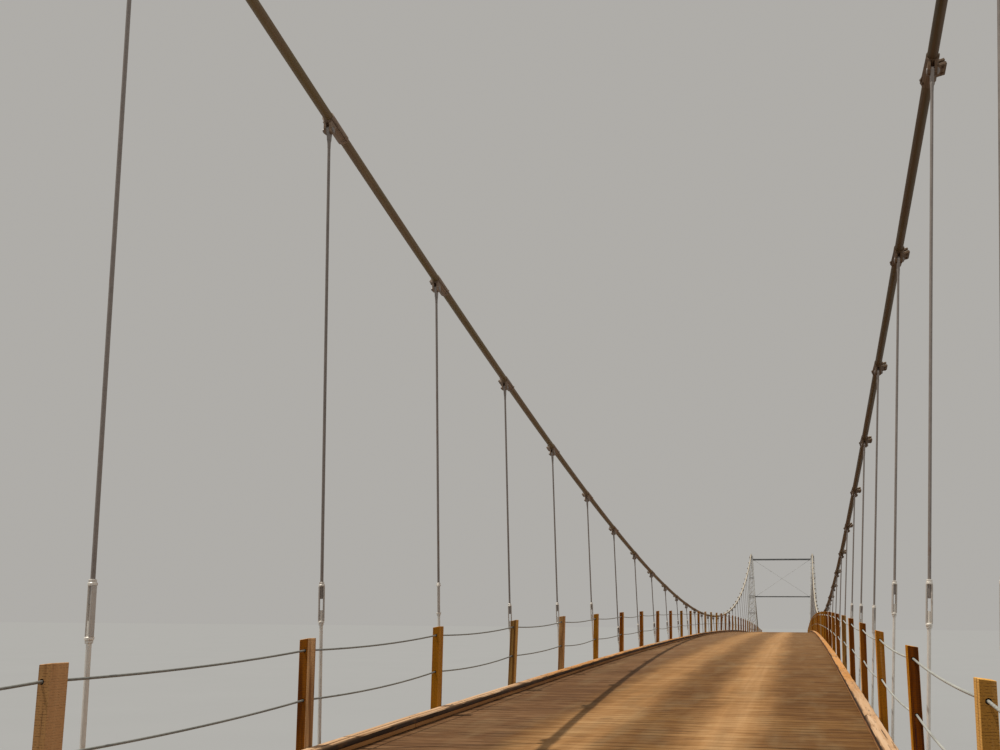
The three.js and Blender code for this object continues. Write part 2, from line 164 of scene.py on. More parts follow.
# Turns of the turnbuckles nearest the camera about their rods, in degrees, and lifts of some of them
NEAR_TURNS = {"west": {-15: -22, -14: 30, -13: 113, -12: 20, -11: 8, -10: 35},
              "east": {-14: -10, -13: 18, -12: 55}}
NEAR_LIFTS = {"west": {-15: 0.001, -14: 0.002, -13: 0.0045}, "east": {-14: 0.004, -13: 0.007}}

# Cable bands: places along the cable count downhill from the hanger, heights from the cable's middle
BAND_FROM = -0.003
BAND_TO = 0.033
BAND_OUTER = (0.0062, 0.0070)
LIP_OUTLINE = ((-0.003, -0.0048), (0.033, -0.0048), (0.033, -0.0066), (0.0315, -0.0078), (0.025, -0.0078),
               (0.023, -0.0071), (-0.003, -0.0058))
LIP_HEIGHTS = (0.0003, 0.0018)
LIP_BOLT = (0.0285, -0.0068)
LIP_BOLT_HALF = 0.0042
LIP_BOLT_RADIUS = 0.0008
EAR_FROM = 0.009
EAR_TO = 0.024
EAR_ROOT = 0.0045
EAR_REACH = 0.015
EAR_UPPER = (0.0008, 0.0038)
EAR_LOWER = (-0.0045, -0.0008)
EAR_BOLTS = (0.0125, 0.0205)
EAR_BOLT_X = 0.0115
EAR_BOLT_PAST = 0.0018
EAR_BOLT_RADIUS = 0.0009
BAND_ROLLS = {"west": {-14: 38, -13: 30, -12: 24}, "east": {-14: 17, -13: 22, -12: 16}}
# The west cable and its bands take the sunlit copy of the paint and the east ones the shaded copy, as painted
# light
CABLE_TONES = {-1: 0.9, 1: 0.1}

# Below each band two cheeks hold the pin, and the hanger's eye swings between them
PIN_DROP = 0.0145
PIN_RADIUS = 0.0018
CHEEK_INNER = 0.0019
CHEEK_OUTER = 0.0045
CHEEK_TOP = 0.0048
EYE_RADIUS = 0.0045
EYE_THICK = 0.0034
SHANK_HALF = 0.0018
SHANK_TO = 0.0125
NECK_TO = 0.022
WASHER_RADIUS = 0.0031

# Towers
LEG_FOOT_Z = 0.5
LEG_TOP_Z = 1.6775
LEG_FOOT = 0.123
LEG_TOP = 0.027
LEG_CORNERS = ((-1, -1), (1, -1), (1, 1), (-1, 1))
ANGLE = 0.009
ANGLE_THICK = 0.0011
LACING = (0.0052, 0.0009)
LACING_DEPTHS = (0.0036, 0.0049)
LACING_RIVET = ((0, 0.0013), (0.0006, 0.0011), (0.001, 0.0005))
BATTEN_THICK = 0.001
BATTEN_RIVET = ((0, 0.0012), (0.0006, 0.001), (0.0009, 0.0004))
BASE_PLATE = (0.15, 0.15, 0.005)
HEAD_PLATE = (0.04, 0.04, 0.005)
BRACE_RADIUS = 0.0013
CHANNEL_WIDTH = 0.004
CHANNEL_THICK = 0.0012
STRUT_BAYS = 16
TOP_STRUT_Z = 1.641
LOW_STRUT_Z = 1.236
# Each strut's level, its channels' depth and half the distance between them
STRUTS = ((TOP_STRUT_Z, 0.0165, 0.0045), (LOW_STRUT_Z, 0.0105, 0.0035))
# Levels and depths of the batten plates round a leg
BATTENS = ((0.69, 0.018), (0.88, 0.018), (1.06, 0.018), (1.44, 0.018), (LOW_STRUT_Z, 0.034),
           (TOP_STRUT_Z, 0.042), (LEG_FOOT_Z + 0.024, 0.034))
TRANSOM_BEAM = (0.024, 0.071, 0.0024, 0.0014)
TRANSOM_WEB_Y = 0.0145
TRANSOM_DROP = 0.0363
CRADLE_HALF = 0.026

# Concrete
BAND_HIGH = 0.03
PIER_FOOT = 0.216
PIER_TOP = 0.172
PIER_WALL = (0.55, 0.054, 0.428)
PIER_CAP = (0.5, 0.0596, 0.0116)
PIER_CAP_Z = 0.424
BACK_WALL = 0.0005
WING_START = DECK_END + 0.0303
WING_LONG = 0.33
WING_FALL = 0.12
ANCHOR_FACE = 0.075
ANCHOR_BACK = 0.16
ANCHOR_PLATE = (0.003, 0.05, 0.05)
ANCHOR_BOLT = 0.019
SOCKET = ((0.003, 0.012), (0.01, 0.0105), (0.03, 0.0072), (0.036, 0.0062))

# Camera, in radians and pixels, with the picture's middle off the lens axis
CAMERA_PLACE = (0.17953, -5.12046, 0.95238)
CAMERA_YAW = 0.18582
CAMERA_PITCH = 0.17321
CAMERA_ROLL = 0.00738
FOCAL_PIXELS = 906.735
CENTRE_RIGHT = 127.938
CENTRE_DOWN = 88.257
IMAGE_WIDTH = 1000

# Light and floor
SUN_FROM = (-0.365, -0.12, 1.0)
SUN_COLOUR = (1.0, 0.94, 0.84)
SUN_ENERGY = 3.6
SUN_ANGLE = 0.4
SKY_COLOUR = (1.05, 1.02, 0.965, 1)
SKY_STRENGTH = 0.52
EXPOSURE = -0.35
FLOOR_REACH = 150.0
FLOOR_Z = -0.001

SIDES = (("west", -1), ("east", 1))
ENDS = (("south", -1), ("north", 1))
PAIRS = tuple(product((-1, 1), repeat=2))

# What a face is, for the materials: a side, an eased edge, an end, the inside of a hole, or along the bridge
MARK_SIDE, MARK_EASED, MARK_END, MARK_HOLE, MARK_ALONG = range(5)


def lerp(a, b, t):
    return a + (b - a) * t


def deck_z(y):
    away = abs(y)
    if away > HALF_SPAN:
        return TOWER_DECK_Z - 2 * CROWN / HALF_SPAN * (away - HALF_SPAN)
    return MID_DECK_Z - CROWN * (away / HALF_SPAN) ** 2


def on_deck(x, y, lift, gap=0.0):
    """A point over the deck at y, then shifted along by a gap."""
    return np.array([x, y + gap, deck_z(y) + lift])


def laid(x, y0, y1, lift, gap):
    """The ends of a timber that lies along the deck from y0 to y1, a gap short of both."""
    return on_deck(x, y0, lift, gap), on_deck(x, y1, lift, -gap)


def cable_x(y):
    away = abs(y)
    if away <= HALF_SPAN:
        return lerp(CABLE_MID_X, CABLE_TOWER_X, (away / HALF_SPAN) ** 2)
    return lerp(CABLE_TOWER_X, CABLE_ANCHOR_X, (away - HALF_SPAN) / (ANCHOR_Y - HALF_SPAN))


def cable_z(y):
    away = abs(y)
    if away <= BEND_Y:
        return CABLE_LOW_Z + CABLE_SAG * (away / HALF_SPAN) ** 2
    past = away - BEND_Y
    if past <= 2 * SADDLE_HALF:
        return BEND_Z + MAIN_SLOPE * past - (MAIN_SLOPE + BACK_SLOPE) * past ** 2 / (4 * SADDLE_HALF)
    return ANCHOR_Z + BACK_SLOPE * (ANCHOR_Y - away)


def cable_point(side, y):
    return np.array([side * cable_x(y), y, cable_z(y)])


def hanger_point(side, y, z):
    foot = deck_z(y) - HANGER_FOOT_DROP
    return np.array([side * lerp(HANGER_FOOT_X, cable_x(y), (z - foot) / (cable_z(y) - foot)), y, z])


def leg_width(z):
    return lerp(LEG_FOOT, LEG_TOP, (z - LEG_FOOT_Z) / (LEG_TOP_Z - LEG_FOOT_Z))


# Outlines and faces

def unit(v):
    v = np.array(v, float)
    return v / np.linalg.norm(v)


def axes_for(along, up=(0, 0, 1)):
    """Rows are a member's own axes: its length, its width and its height."""
    x = unit(along)
    z = np.array(up, float)
    z = unit(z - x * (z @ x))
    return np.array([x, np.cross(z, x), z])


def anticlockwise(outline):
    area = sum(p[0] * q[1] - q[0] * p[1] for p, q in zip(outline, outline[1:] + outline[:1]))
    return outline if area > 0 else outline[::-1]


def octagon(half_x, half_y, ease):
    """A rectangle with its corners cut."""
    x, y = half_x - ease, half_y - ease
    return [(-x, -half_y), (x, -half_y), (half_x, -y), (half_x, y), (x, half_y), (-x, half_y), (-half_x, y),
            (-half_x, -y)]


def arc_points(radius, start, stop, steps, drop=0.0):
    angles = [lerp(start, stop, k / steps) for k in range(steps + 1)]
    return [(radius * math.cos(a), drop + radius * math.sin(a)) for a in angles]


def half_ring(inner, outer, sign):
    """Outline of one half of a split ring, open along its middle."""
    gap = 0.05
    ring = arc_points(outer, gap, math.pi - gap, 10) + arc_points(inner, math.pi - gap, gap, 10)
    return [(u, sign * v) for u, v in ring]


def i_outline(width, depth, flange=0.0016, web=0.0012):
    w, d, t = width / 2, depth / 2, web / 2
    return [(-w, -d), (w, -d), (w, -d + flange), (t, -d + flange), (t, d - flange), (w, d - flange), (w, d),
            (-w, d), (-w, d - flange), (-t, d - flange), (-t, -d + flange), (-w, -d + flange)]


def angle_outline(cx, cy):
    """An angle iron with its heel at the outer corner and its legs towards the middle of the tower leg."""
    heel = ANGLE / 2
    thin = heel - ANGLE_THICK
    return [(cx * u, cy * v) for u, v in
            ((heel, heel), (-heel, heel), (-heel, thin), (thin, thin), (thin, -heel), (heel, -heel))]


def channel_outline(width, depth, turn):
    w, d, t = width / 2, depth / 2, CHANNEL_THICK
    return [(turn * u, v) for u, v in ((-w, -d), (w, -d), (w, -d + t), (-w + t, -d + t), (-w + t, d - t),
                                       (w, d - t), (w, d), (-w, d))]


def skin(rings, sides, clockwise=False):
    """Faces between neighbouring rings of points, and one over each end."""
    faces = []
    for start in range(0, (rings - 1) * sides, sides):
        for i in range(sides):
            j = (i + 1) % sides
            faces.append([start + i, start + j, start + sides + j, start + sides + i])
    last = (rings - 1) * sides
    faces += [list(range(sides))[::-1], list(range(last, last + sides))]
    return [[face[1], face[0], *face[:1:-1]] for face in faces] if clockwise else faces


def sorted_ring(ids, points):
    """Orders a convex face's corners anticlockwise seen from outside a body round the origin."""
    corners = points[ids]
    centre = corners.mean(0)
    axes = axes_for(corners[0] - centre, centre)
    angles = [math.atan2((p - centre) @ axes[1], (p - centre) @ axes[0]) for p in corners]
    return [ids[i] for i in np.argsort(angles)]


def eased_box_pattern():
    """The corners of a box with eased edges, as signs and a face axis, and its faces with their marks."""
    corners = [(*signs, axis) for signs in product((-1, 1), repeat=3) for axis in range(3)]
    points = np.array([[s * (1.0 if a == axis else 0.8) for a, s in enumerate(signs)]
                       for *signs, axis in corners])
    groups = []
    for axis in range(3):
        for sign in (-1, 1):
            flat = [i for i, c in enumerate(corners) if c[3] == axis and c[axis] == sign]
            groups.append((flat, MARK_END if axis == 0 else MARK_SIDE))
    for axis in range(3):
        first, second = [a for a in range(3) if a != axis]
        for pair in PAIRS:
            edge = [i for i, c in enumerate(corners) if c[3] != axis and (c[first], c[second]) == pair]
            groups.append((edge, MARK_EASED))
    groups += [([i, i + 1, i + 2], MARK_EASED) for i in range(0, len(corners), 3)]
    return np.array(corners), [(sorted_ring(ids, points), mark) for ids, mark in groups]


BOX_CORNERS, BOX_FACES = eased_box_pattern()


def add_to_scene(name, data):
    obj = bpy.data.objects.new(name, data)
    bpy.context.scene.collection.objects.link(obj)
    return obj


class Build:
    """Gathers the members of one piece, each with its own grain coordinates and tone."""

    def __init__(self):
        self.points = []
        self.local = []
        self.tones = []
        self.faces = []
        self.marks = []
        self.count = 0

    def add(self, points, local, faces, tone, marks=None):
        offset = np.array([rng.uniform(0, 9) for _ in range(3)])
        self.points.append(points)
        self.local.append(local + offset)
        self.tones.append(np.full(len(points), tone))
        self.faces.extend([[i + self.count for i in face] for face in faces])
        self.marks.extend(marks or [MARK_SIDE] * len(faces))
        self.count += len(points)

    def box(self, centre, size, ease=0.0005, tone=0.5, axes=np.eye(3)):
        inset = np.where(BOX_CORNERS[:, 3:] == np.arange(3), 0.0, ease)
        local = BOX_CORNERS[:, :3] * (np.array(size) / 2 - inset)
        faces, marks = zip(*BOX_FACES)
        self.add(np.array(centre) + local @ axes, local, faces, tone, marks)

    def beam(self, a, b, width, height, up=(0, 0, 1), ease=0.0005, tone=0.5):
        a, b = np.array([a, b], float)
        self.box((a + b) / 2, (np.linalg.norm(b - a), width, height), ease, tone, axes_for(b - a, up))

    def prism(self, outline, a, b, up=(0, 0, 1), tone=0.5):
        """Pushes an outline of (width, height) points from a to b."""
        a, b = np.array([a, b], float)
        ring = anticlockwise(outline)
        count = len(ring)
        local = np.array([(x, *p) for x in (0.0, np.linalg.norm(b - a)) for p in ring])
        marks = [MARK_SIDE] * count + [MARK_END] * 2
        self.add(a + local @ axes_for(b - a, up), local, skin(2, count), tone, marks)

    def sweep(self, centres, ahead, radii, travel, sides, tone):
        """Carries a round section along a line of centres."""
        side = unit(np.cross(ahead[0], (0, 0, 1) if abs(ahead[0][2]) < 0.9 else (0, 1, 0)))
        angles = 2 * math.pi * np.arange(sides) / sides
        circle = np.column_stack([np.cos(angles), np.sin(angles)])
        points, local = [], []
        for centre, forward, radius, distance in zip(centres, ahead, radii, travel):
            side = unit(side - forward * (side @ forward))
            points.append(centre + radius * circle @ np.array([side, np.cross(side, forward)]))
            local.append(np.column_stack([np.full(sides, distance), radius * circle]))
        self.add(np.concatenate(points), np.concatenate(local), skin(len(points), sides, True), tone)

    def tube(self, path, radius, sides=12, tone=0.5):
        path = np.array(path, float)
        ahead = np.gradient(path, axis=0)
        ahead /= np.linalg.norm(ahead, axis=1)[:, None]
        travel = np.concatenate([[0], np.cumsum(np.linalg.norm(np.diff(path, axis=0), axis=1))])
        self.sweep(path, ahead, [radius] * len(path), travel, sides, tone)

    def lathe(self, profile, origin, along, sides=12, tone=0.5):
        """Turns (distance along, radius) points round an axis from the origin."""
        along = unit(along)
        travel, radii = zip(*profile)
        centres = [np.array(origin) + along * x for x in travel]
        self.sweep(centres, [along] * len(profile), radii, travel, sides, tone)

    def disc(self, origin, along, radius, height, ease, sides, tone):
        rim = radius - ease
        profile = [(0, rim), (ease, radius), (height - ease, radius), (height, rim)]
        self.lathe(profile, origin, along, sides, tone)

    def nut(self, origin, along, radius, height, tone=0.9):
        self.disc(origin, along, radius, height, 0.12 * radius, 6, tone)

    def piece(self, name, material, replaces=(), smooth=35):
        mesh = bpy.data.meshes.new(name)
        mesh.from_pydata(np.concatenate(self.points).tolist(), [], self.faces)
        for key, kind, domain, field, values in (
                ("local", "FLOAT_VECTOR", "POINT", "vector", np.concatenate(self.local)),
                ("tone", "FLOAT", "POINT", "value", np.concatenate(self.tones)),
                ("mark", "FLOAT", "FACE", "value", np.array(self.marks))):
            data = mesh.attributes.new(key, kind, domain).data
            data.foreach_set(field, values.astype(np.float32).ravel())
        shader, slot = MATERIALS[material]
        mesh.materials.append(shader)
        mesh.polygons.foreach_set("use_smooth", [True] * len(mesh.polygons))
        mesh.set_sharp_from_angle(angle=math.radians(smooth))
        mesh.update()
        obj = add_to_scene(name, mesh)
        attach(obj, "root")
        if replaces:
            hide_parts(*replaces)


# Shaders

def srgb(code):
    """A colour written as six hex digits, as scene-linear red, green, blue and alpha."""
    parts = [int(code[i:i + 2], 16) / 255 for i in (0, 2, 4)]
    return (*[p / 12.92 if p <= 0.04045 else ((p + 0.055) / 1.055) ** 2.4 for p in parts], 1.0)


class Value:
    """What a shader node puts out. Arithmetic with it adds further nodes."""

    def __init__(self, shader, socket):
        self.shader = shader
        self.socket = socket

    def math(self, operation, other=0.0):
        return self.shader.value("ShaderNodeMath", 0, {0: self, 1: other}, operation=operation)

    def __add__(self, other):
        return self.math("ADD", other)

    def __sub__(self, other):
        return self.math("SUBTRACT", other)

    def __mul__(self, other):
        return self.math("MULTIPLY", other)

    def __abs__(self):
        return self.math("ABSOLUTE")

    def turns(self, rate):
        """Rises from 0 to 1 and falls back, so many times to the metre."""
        return (self * rate).math("FRACT")

    def split(self):
        node = self.shader.node("ShaderNodeSeparateXYZ", {"Vector": self})
        return [Value(self.shader, socket) for socket in node.outputs]

    def span(self, low, high, out_low=0.0, out_high=1.0):
        """Maps low..high to out_low..out_high with soft ends."""
        inputs = {"Value": self, "From Min": low, "From Max": high, "To Min": out_low, "To Max": out_high}
        return self.shader.value("ShaderNodeMapRange", "Result", inputs, interpolation_type="SMOOTHSTEP")

    def ramp(self, stops):
        node = self.shader.node("ShaderNodeValToRGB", {"Fac": self})
        elements = node.color_ramp.elements
        places = list(stops)
        elements[0].position = places[0]
        elements[1].position = places[-1]
        for place in places[1:-1]:
            elements.new(place)
        for element, colour in zip(elements, stops.values()):
            element.color = srgb(colour) if isinstance(colour, str) else colour
        return Value(self.shader, node.outputs["Color"])


class Shader:
    """A Principled material whose colour is laid on in steps, with roughness and bump from nodes."""

    def __init__(self, name):
        self.material = bpy.data.materials.new(name)
        self.material.use_nodes = True
        self.tree = self.material.node_tree
        self.tree.nodes.clear()
        self.place = self.value("ShaderNodeTexCoord", "Object")
        self.local = self.attribute("local", "Vector")
        self.tone = self.attribute("tone")
        self.colour = None

    def node(self, kind, inputs=None, **settings):
        node = self.tree.nodes.new(kind)
        for key, value in settings.items():
            setattr(node, key, value)
        for key, value in (inputs or {}).items():
            self.feed(node.inputs[key], value)
        return node

    def feed(self, socket, value):
        if isinstance(value, Value):
            self.tree.links.new(value.socket, socket)
        else:
            socket.default_value = srgb(value) if isinstance(value, str) else value

    def value(self, kind, output, inputs=None, **settings):
        return Value(self, self.node(kind, inputs, **settings).outputs[output])

    def attribute(self, name, output="Fac"):
        return self.value("ShaderNodeAttribute", output, attribute_name=name)

    def upward(self):
        return self.value("ShaderNodeNewGeometry", "Normal").split()[2]

    def scaled(self, vector, scale):
        return self.value("ShaderNodeVectorMath", 0, {0: vector, 1: scale}, operation="MULTIPLY")

    def noise(self, vector, scale, detail, rough=0.55, twist=0.0):
        inputs = {"Vector": self.scaled(vector, scale), "Scale": 1.0, "Detail": detail, "Roughness": rough,
                  "Distortion": twist}
        return self.value("ShaderNodeTexNoise", "Fac", inputs)

    def grain(self, along, across, detail, **settings):
        """Noise in each member's own coordinates."""
        return self.noise(self.local, (along, across, across), detail, **settings)

    def cells(self, vector, scale, output):
        inputs = {"Vector": self.scaled(vector, scale), "Scale": 1.0}
        return self.value("ShaderNodeTexVoronoi", output, inputs)

    def mix(self, a, b, share, blend="MIX"):
        node = self.node("ShaderNodeMix", data_type="RGBA", blend_type=blend)
        colours = [socket for socket in node.inputs if socket.type == "RGBA"]
        for socket, value in zip((node.inputs[0], *colours), (share, a, b)):
            self.feed(socket, value)
        return Value(self, next(socket for socket in node.outputs if socket.type == "RGBA"))

    def tint(self, colour, share, blend="MIX"):
        """Lays another colour over the one reached so far."""
        self.colour = self.mix(self.colour, colour, share, blend)

    def finish(self, rough, height, distance, strength, metallic=0.0, gloss=0.5):
        bump = {"Height": height, "Distance": distance, "Strength": strength}
        inputs = {"Base Color": self.colour, "Roughness": rough, "Metallic": metallic,
                  "Specular IOR Level": gloss, "Normal": self.value("ShaderNodeBump", "Normal", bump)}
        surface = self.value("ShaderNodeBsdfPrincipled", "BSDF", inputs)
        self.node("ShaderNodeOutputMaterial", {"Surface": surface})
        return self.material


def wood_grain(s, fibre=1.0):
    """Fine fibres, broad growth bands, drying checks and knots, as four values from 0 to 1."""
    fine = s.grain(14, 900 * fibre, 5)
    bands = s.grain(5, 190 * fibre, 3, twist=0.8)
    checks = s.grain(9, 420, 2).span(0.66, 0.74)
    spots = s.cells(s.local, (16, 75, 75), "Distance").span(0.2, 0.1)
    lucky = s.cells(s.local, (16, 75, 75), "Color").split()[0].span(0.7, 0.75)
    return fine, bands, checks, spots * lucky


def plank_material():
    s = Shader("deck_planks")
    fine, bands, checks, knots = wood_grain(s)
    x, y, _ = s.place.split()
    # Two worn wheel tracks, wandering a little along the bridge, between darker boards
    wander = s.noise(s.place, (1, 2.2, 1), 2).span(0.3, 0.7, -0.005, 0.005)
    patchy = s.noise(s.place, (30, 7, 1), 4).span(0.3, 0.7, -0.006, 0.006)
    across = x + (wander + patchy)
    offset = abs(abs(across - TRACK_MIDDLE) - TRACK_X)
    track = offset.span(TRACK_HALF + 0.032, TRACK_HALF - 0.026)
    streaks = s.noise(s.place, (70, 2.5, 1), 4).span(0.3, 0.75)
    worn = track * (across.span(0.0, 0.04) * 0.14 + 0.6 + streaks * 0.24)
    blotches = s.grain(24, 60, 4).span(0.3, 0.7)
    mixed = bands * 0.3 + 0.03 + (blotches * 0.27 + s.tone * 0.4)
    brown = mixed.ramp({0.15: "53371c", 0.5: "6b4927", 0.85: "866238"})
    mauve = mixed.ramp({0.15: "523723", 0.5: "694a2f", 0.85: "826143"})
    bright = mixed.ramp({0.15: "8c6436", 0.5: "ab7f50", 0.85: "c2996a"})
    s.colour = s.mix(s.mix(brown, mauve, across.span(-0.1, -0.15)), bright, worn)
    line = abs(x + wander * 0.6 - STREAK_X).span(0.024, 0.004)
    s.tint("cda87c", line * streaks.span(0.0, 1.0, 0.08, 0.22))
    s.tint("94805f", s.noise(s.place, (26, 5, 1), 5).span(0.45, 0.75) * 0.28)
    s.tint("caa276", y.span(-4.2, -1.0, 0.0, 0.2))
    s.tint("3a2a1f", fine.span(0.62, 0.82) * 0.5)
    s.tint("2c2019", checks * 0.5)
    s.tint("3f2a1a", knots * 0.6)
    rubbed = worn.span(0.25, 0.8, 1.0, 0.3)
    s.tint("4a321e", s.grain(20, 40, 3).span(0.62, 0.7) * (rubbed * 0.4))
    # Painted shade in the seams between the boards, broken along them and fainter on the worn tracks
    seam_shade = abs(y.turns(PLANKS_PER_PANEL / PANEL) - 0.5).span(0.34, 0.46)
    broken = s.noise(s.place, (18, 90, 1), 3).span(0.38, 0.62, 0.1, 0.6)
    s.tint("38261a", seam_shade * (broken * rubbed))
    return s.finish(bands.span(0.2, 0.8, 0.75, 0.92), fine * 0.5 - checks, 0.0004, 0.7, gloss=0.1)


def post_material():
    s = Shader("rail_posts")
    mark = s.attribute("mark")
    fine, bands, checks, knots = wood_grain(s, 0.55)
    # The faces along the bridge keep each post's own darker colour, as painted shade, and the faces to the
    # road, the eased edges and the ends take mostly a paler colour
    own = s.tone.ramp({0.0: "743c06", 0.2: "80480c", 0.42: "9c620f", 0.6: "9a6a1a", 0.7: "a17333",
                       0.82: "94703c", 1.0: "b08556"})
    pale = s.tone.ramp({0.0: "f0a420", 0.2: "f2ba68", 0.27: "ffd29e", 0.34: "e0a050", 0.47: "cf9038",
                        0.6: "efb766", 0.86: "efb766", 1.0: "d8a878"})
    s.colour = s.mix(s.mix(own, pale, 0.7), own, mark.span(3.5, 4.0))
    s.tint("8c6a4c", bands.span(0.52, 0.3) * 0.8, "MULTIPLY")
    s.tint("f2c894", bands.span(0.6, 0.8) * 0.2)
    s.tint("4a2a14", fine.span(0.6, 0.85) * 0.35)
    s.tint("3a2230", checks * 0.75)
    s.tint("5a2a10", knots * 0.8)
    # Rows of small incisions across the grain, as in treated timber
    rows = s.local.split()[0].turns(620.0).span(0.62, 0.8)
    cuts = rows * s.grain(900, 500, 1).span(0.44, 0.56)
    s.tint("3a2414", cuts * mark.span(3.5, 4.0, 0.1, 0.5))
    # Dark heartwood in the darkest posts, painted sunlight on the sawn ends and painted shade inside the
    # holes
    heart = s.grain(4, 230, 3).span(0.48, 0.6)
    s.tint("2c0f05", heart * s.tone.span(0.12, 0.03, 0.0, 0.6))
    s.tint("f6bc62", mark.span(1.6, 1.8) * mark.span(2.4, 2.2) * 0.7)
    s.tint("160e09", mark.span(2.5, 3.0) * mark.span(3.6, 3.3))
    height = bands * 0.8 - (checks * 2.0 + cuts * 0.8)
    return s.finish(fine.span(0.2, 0.8, 0.62, 0.85), height, 0.0004, 0.8, gloss=0.06)


def kerb_material():
    s = Shader("kerb_timber")
    fine, bands, checks, knots = wood_grain(s, 0.6)
    mixed = bands * 0.6 + s.tone * 0.4
    top = mixed.ramp({0.2: "b48a60", 0.4: "d0aa84", 0.58: "e0c2a2", 0.85: "eedcc4"})
    newer = s.noise(s.place, (3, 5, 1), 4).span(0.32, 0.5) * s.place.split()[1].span(-3.8, -3.4)
    # The sides are painted dark, as painted shade, and mixed under the paler top by how far each face turns
    # up
    side = mixed.ramp({0.2: "2e2016", 0.5: "4a3524", 0.8: "6b4f36"})
    s.colour = s.mix(side, s.mix(top, "cc8630", newer * 0.7), s.upward().span(0.25, 0.75))
    s.tint("85582a", s.noise(s.local, (24, 90, 120), 5).span(0.56, 0.72) * 0.6)
    s.tint("5a3c20", s.grain(12, 300, 3).span(0.6, 0.68) * 0.6)
    s.tint("3a2818", checks * 0.8)
    s.tint("5b3a20", knots * 0.8)
    s.tint("6d5137", fine.span(0.6, 0.85) * 0.4)
    return s.finish(fine.span(0.2, 0.8, 0.7, 0.9), bands * 0.8 - checks * 2.0, 0.0005, 0.8, gloss=0.25)


def strip_material():
    s = Shader("kerb_strip")
    fine, bands, checks, _ = wood_grain(s, 0.7)
    s.colour = bands.ramp({0.25: "84552c", 0.5: "a8733c", 0.75: "c08c50"})
    s.tint("3f2817", fine.span(0.58, 0.8) * 0.5)
    s.tint("2f1d10", checks * 0.7)
    return s.finish(fine.span(0.2, 0.8, 0.7, 0.9), bands, 0.0003, 0.7)


def framing_material():
    s = Shader("framing_timber")
    fine, bands, checks, knots = wood_grain(s, 0.5)
    s.colour = (bands * 0.6 + s.tone * 0.4).ramp({0.2: "4c3a2b", 0.5: "6d5640", 0.8: "8b7056"})
    s.tint("2a1e15", checks * 0.7)
    s.tint("33221a", knots * 0.7)
    s.tint("8c8072", fine.span(0.5, 0.75) * 0.25)
    return s.finish(fine.span(0.2, 0.8, 0.75, 0.92), bands, 0.0004, 0.7)


def cable_material(name, dark, light, wrapped):
    """Olive-brown paint over rust, painted cream where the surface faces the sky as painted sunlight, between
    a shaded and a sunlit copy of the paint by tone.
    """
    s = Shader(name)
    streaks = s.grain(9, 520, 5)
    patches = s.noise(s.place, (60, 7, 60), 4)
    mixed = streaks * 0.6 + patches * 0.4
    paints = [mixed.ramp(dict(zip((0.32, 0.45, 0.55, 0.7), codes.split()))) for codes in (dark, light)]
    over = mixed.ramp({0.3: "ac9f87", 0.5: "cfc5b3", 0.7: "e0d8ca"})
    # Painted sunlight: the colour turns cream on faces turned up to the sky
    sunlit_top = s.upward() + (patches - 0.5) * 0.3
    s.colour = s.mix(s.mix(*paints, s.tone), over, sunlit_top.span(0.3, 0.85))
    s.tint("6e3e1e", patches.span(0.62, 0.74) * 0.3)
    height = streaks * 0.4
    if wrapped:
        wraps = abs(s.local.split()[0].turns(900.0) - 0.5).span(0.0, 0.5)
        s.tint("2c2316", wraps * 0.2)
        height = height - wraps * 0.6
    return s.finish(patches.span(0.3, 0.7, 0.5, 0.72), height, 0.0003, 0.7, metallic=0.1)


def galvanised_material(name, low, mid, high, metallic):
    s = Shader(name)
    spangle = s.cells(s.local, (420, 420, 420), "Color").split()[0]
    cloud = s.grain(40, 160, 4)
    streak = s.grain(18, 900, 3)
    value = s.tone * 0.7 + (cloud * 0.2 + spangle * 0.05)
    s.colour = value.ramp({0.2: low, 0.5: mid, 0.9: high})
    rust = s.grain(26, 70, 5).span(0.63, 0.72) * streak.span(0.3, 0.6)
    s.tint("7a4a26", rust * 0.6)
    rough = cloud.span(0.3, 0.7, 0.4, 0.56) + rust * 0.35
    return s.finish(rough, cloud + streak * 0.4, 0.0002, 0.5, metallic)


def paint_material():
    s = Shader("tower_paint")
    cloud = s.noise(s.place, (14, 14, 14), 5)
    s.colour = (s.tone * 0.7 + cloud * 0.3).ramp({0.1: "45484a", 0.45: "a9abac", 0.8: "eaebe8"})
    rust = s.noise(s.place, (150, 150, 9), 4).span(0.58, 0.7) * cloud.span(0.42, 0.6)
    s.tint("7c5234", rust * 0.45)
    grime = s.grain(60, 300, 4).span(0.55, 0.75)
    s.tint("55534e", grime * 0.3)
    return s.finish(cloud.span(0.3, 0.7, 0.42, 0.62), grime, 0.0002, 0.5, metallic=0.2)


def rope_material():
    s = Shader("wire_rope")
    x, y, z = s.local.split()
    lay = x * ROPE_TURNS + z.math("ARCTAN2", y) * (ROPE_STRANDS / (2 * math.pi))
    strand = abs(lay.math("FRACT") - 0.5).span(0.5, 0.1)
    dirt = s.grain(30, 200, 4)
    s.colour = (strand * 0.15 + dirt * 0.85).ramp({0.15: "7c7e7a", 0.5: "a8aaa4", 0.85: "c8c8c0"})
    # Painted shade: ropes with a low tone, the west ones, are darkened
    s.tint("56554f", s.tone.span(0.9, 0.1, 0.0, 0.6))
    return s.finish(dirt.span(0.3, 0.7, 0.42, 0.6), strand, 0.0003, 0.5)


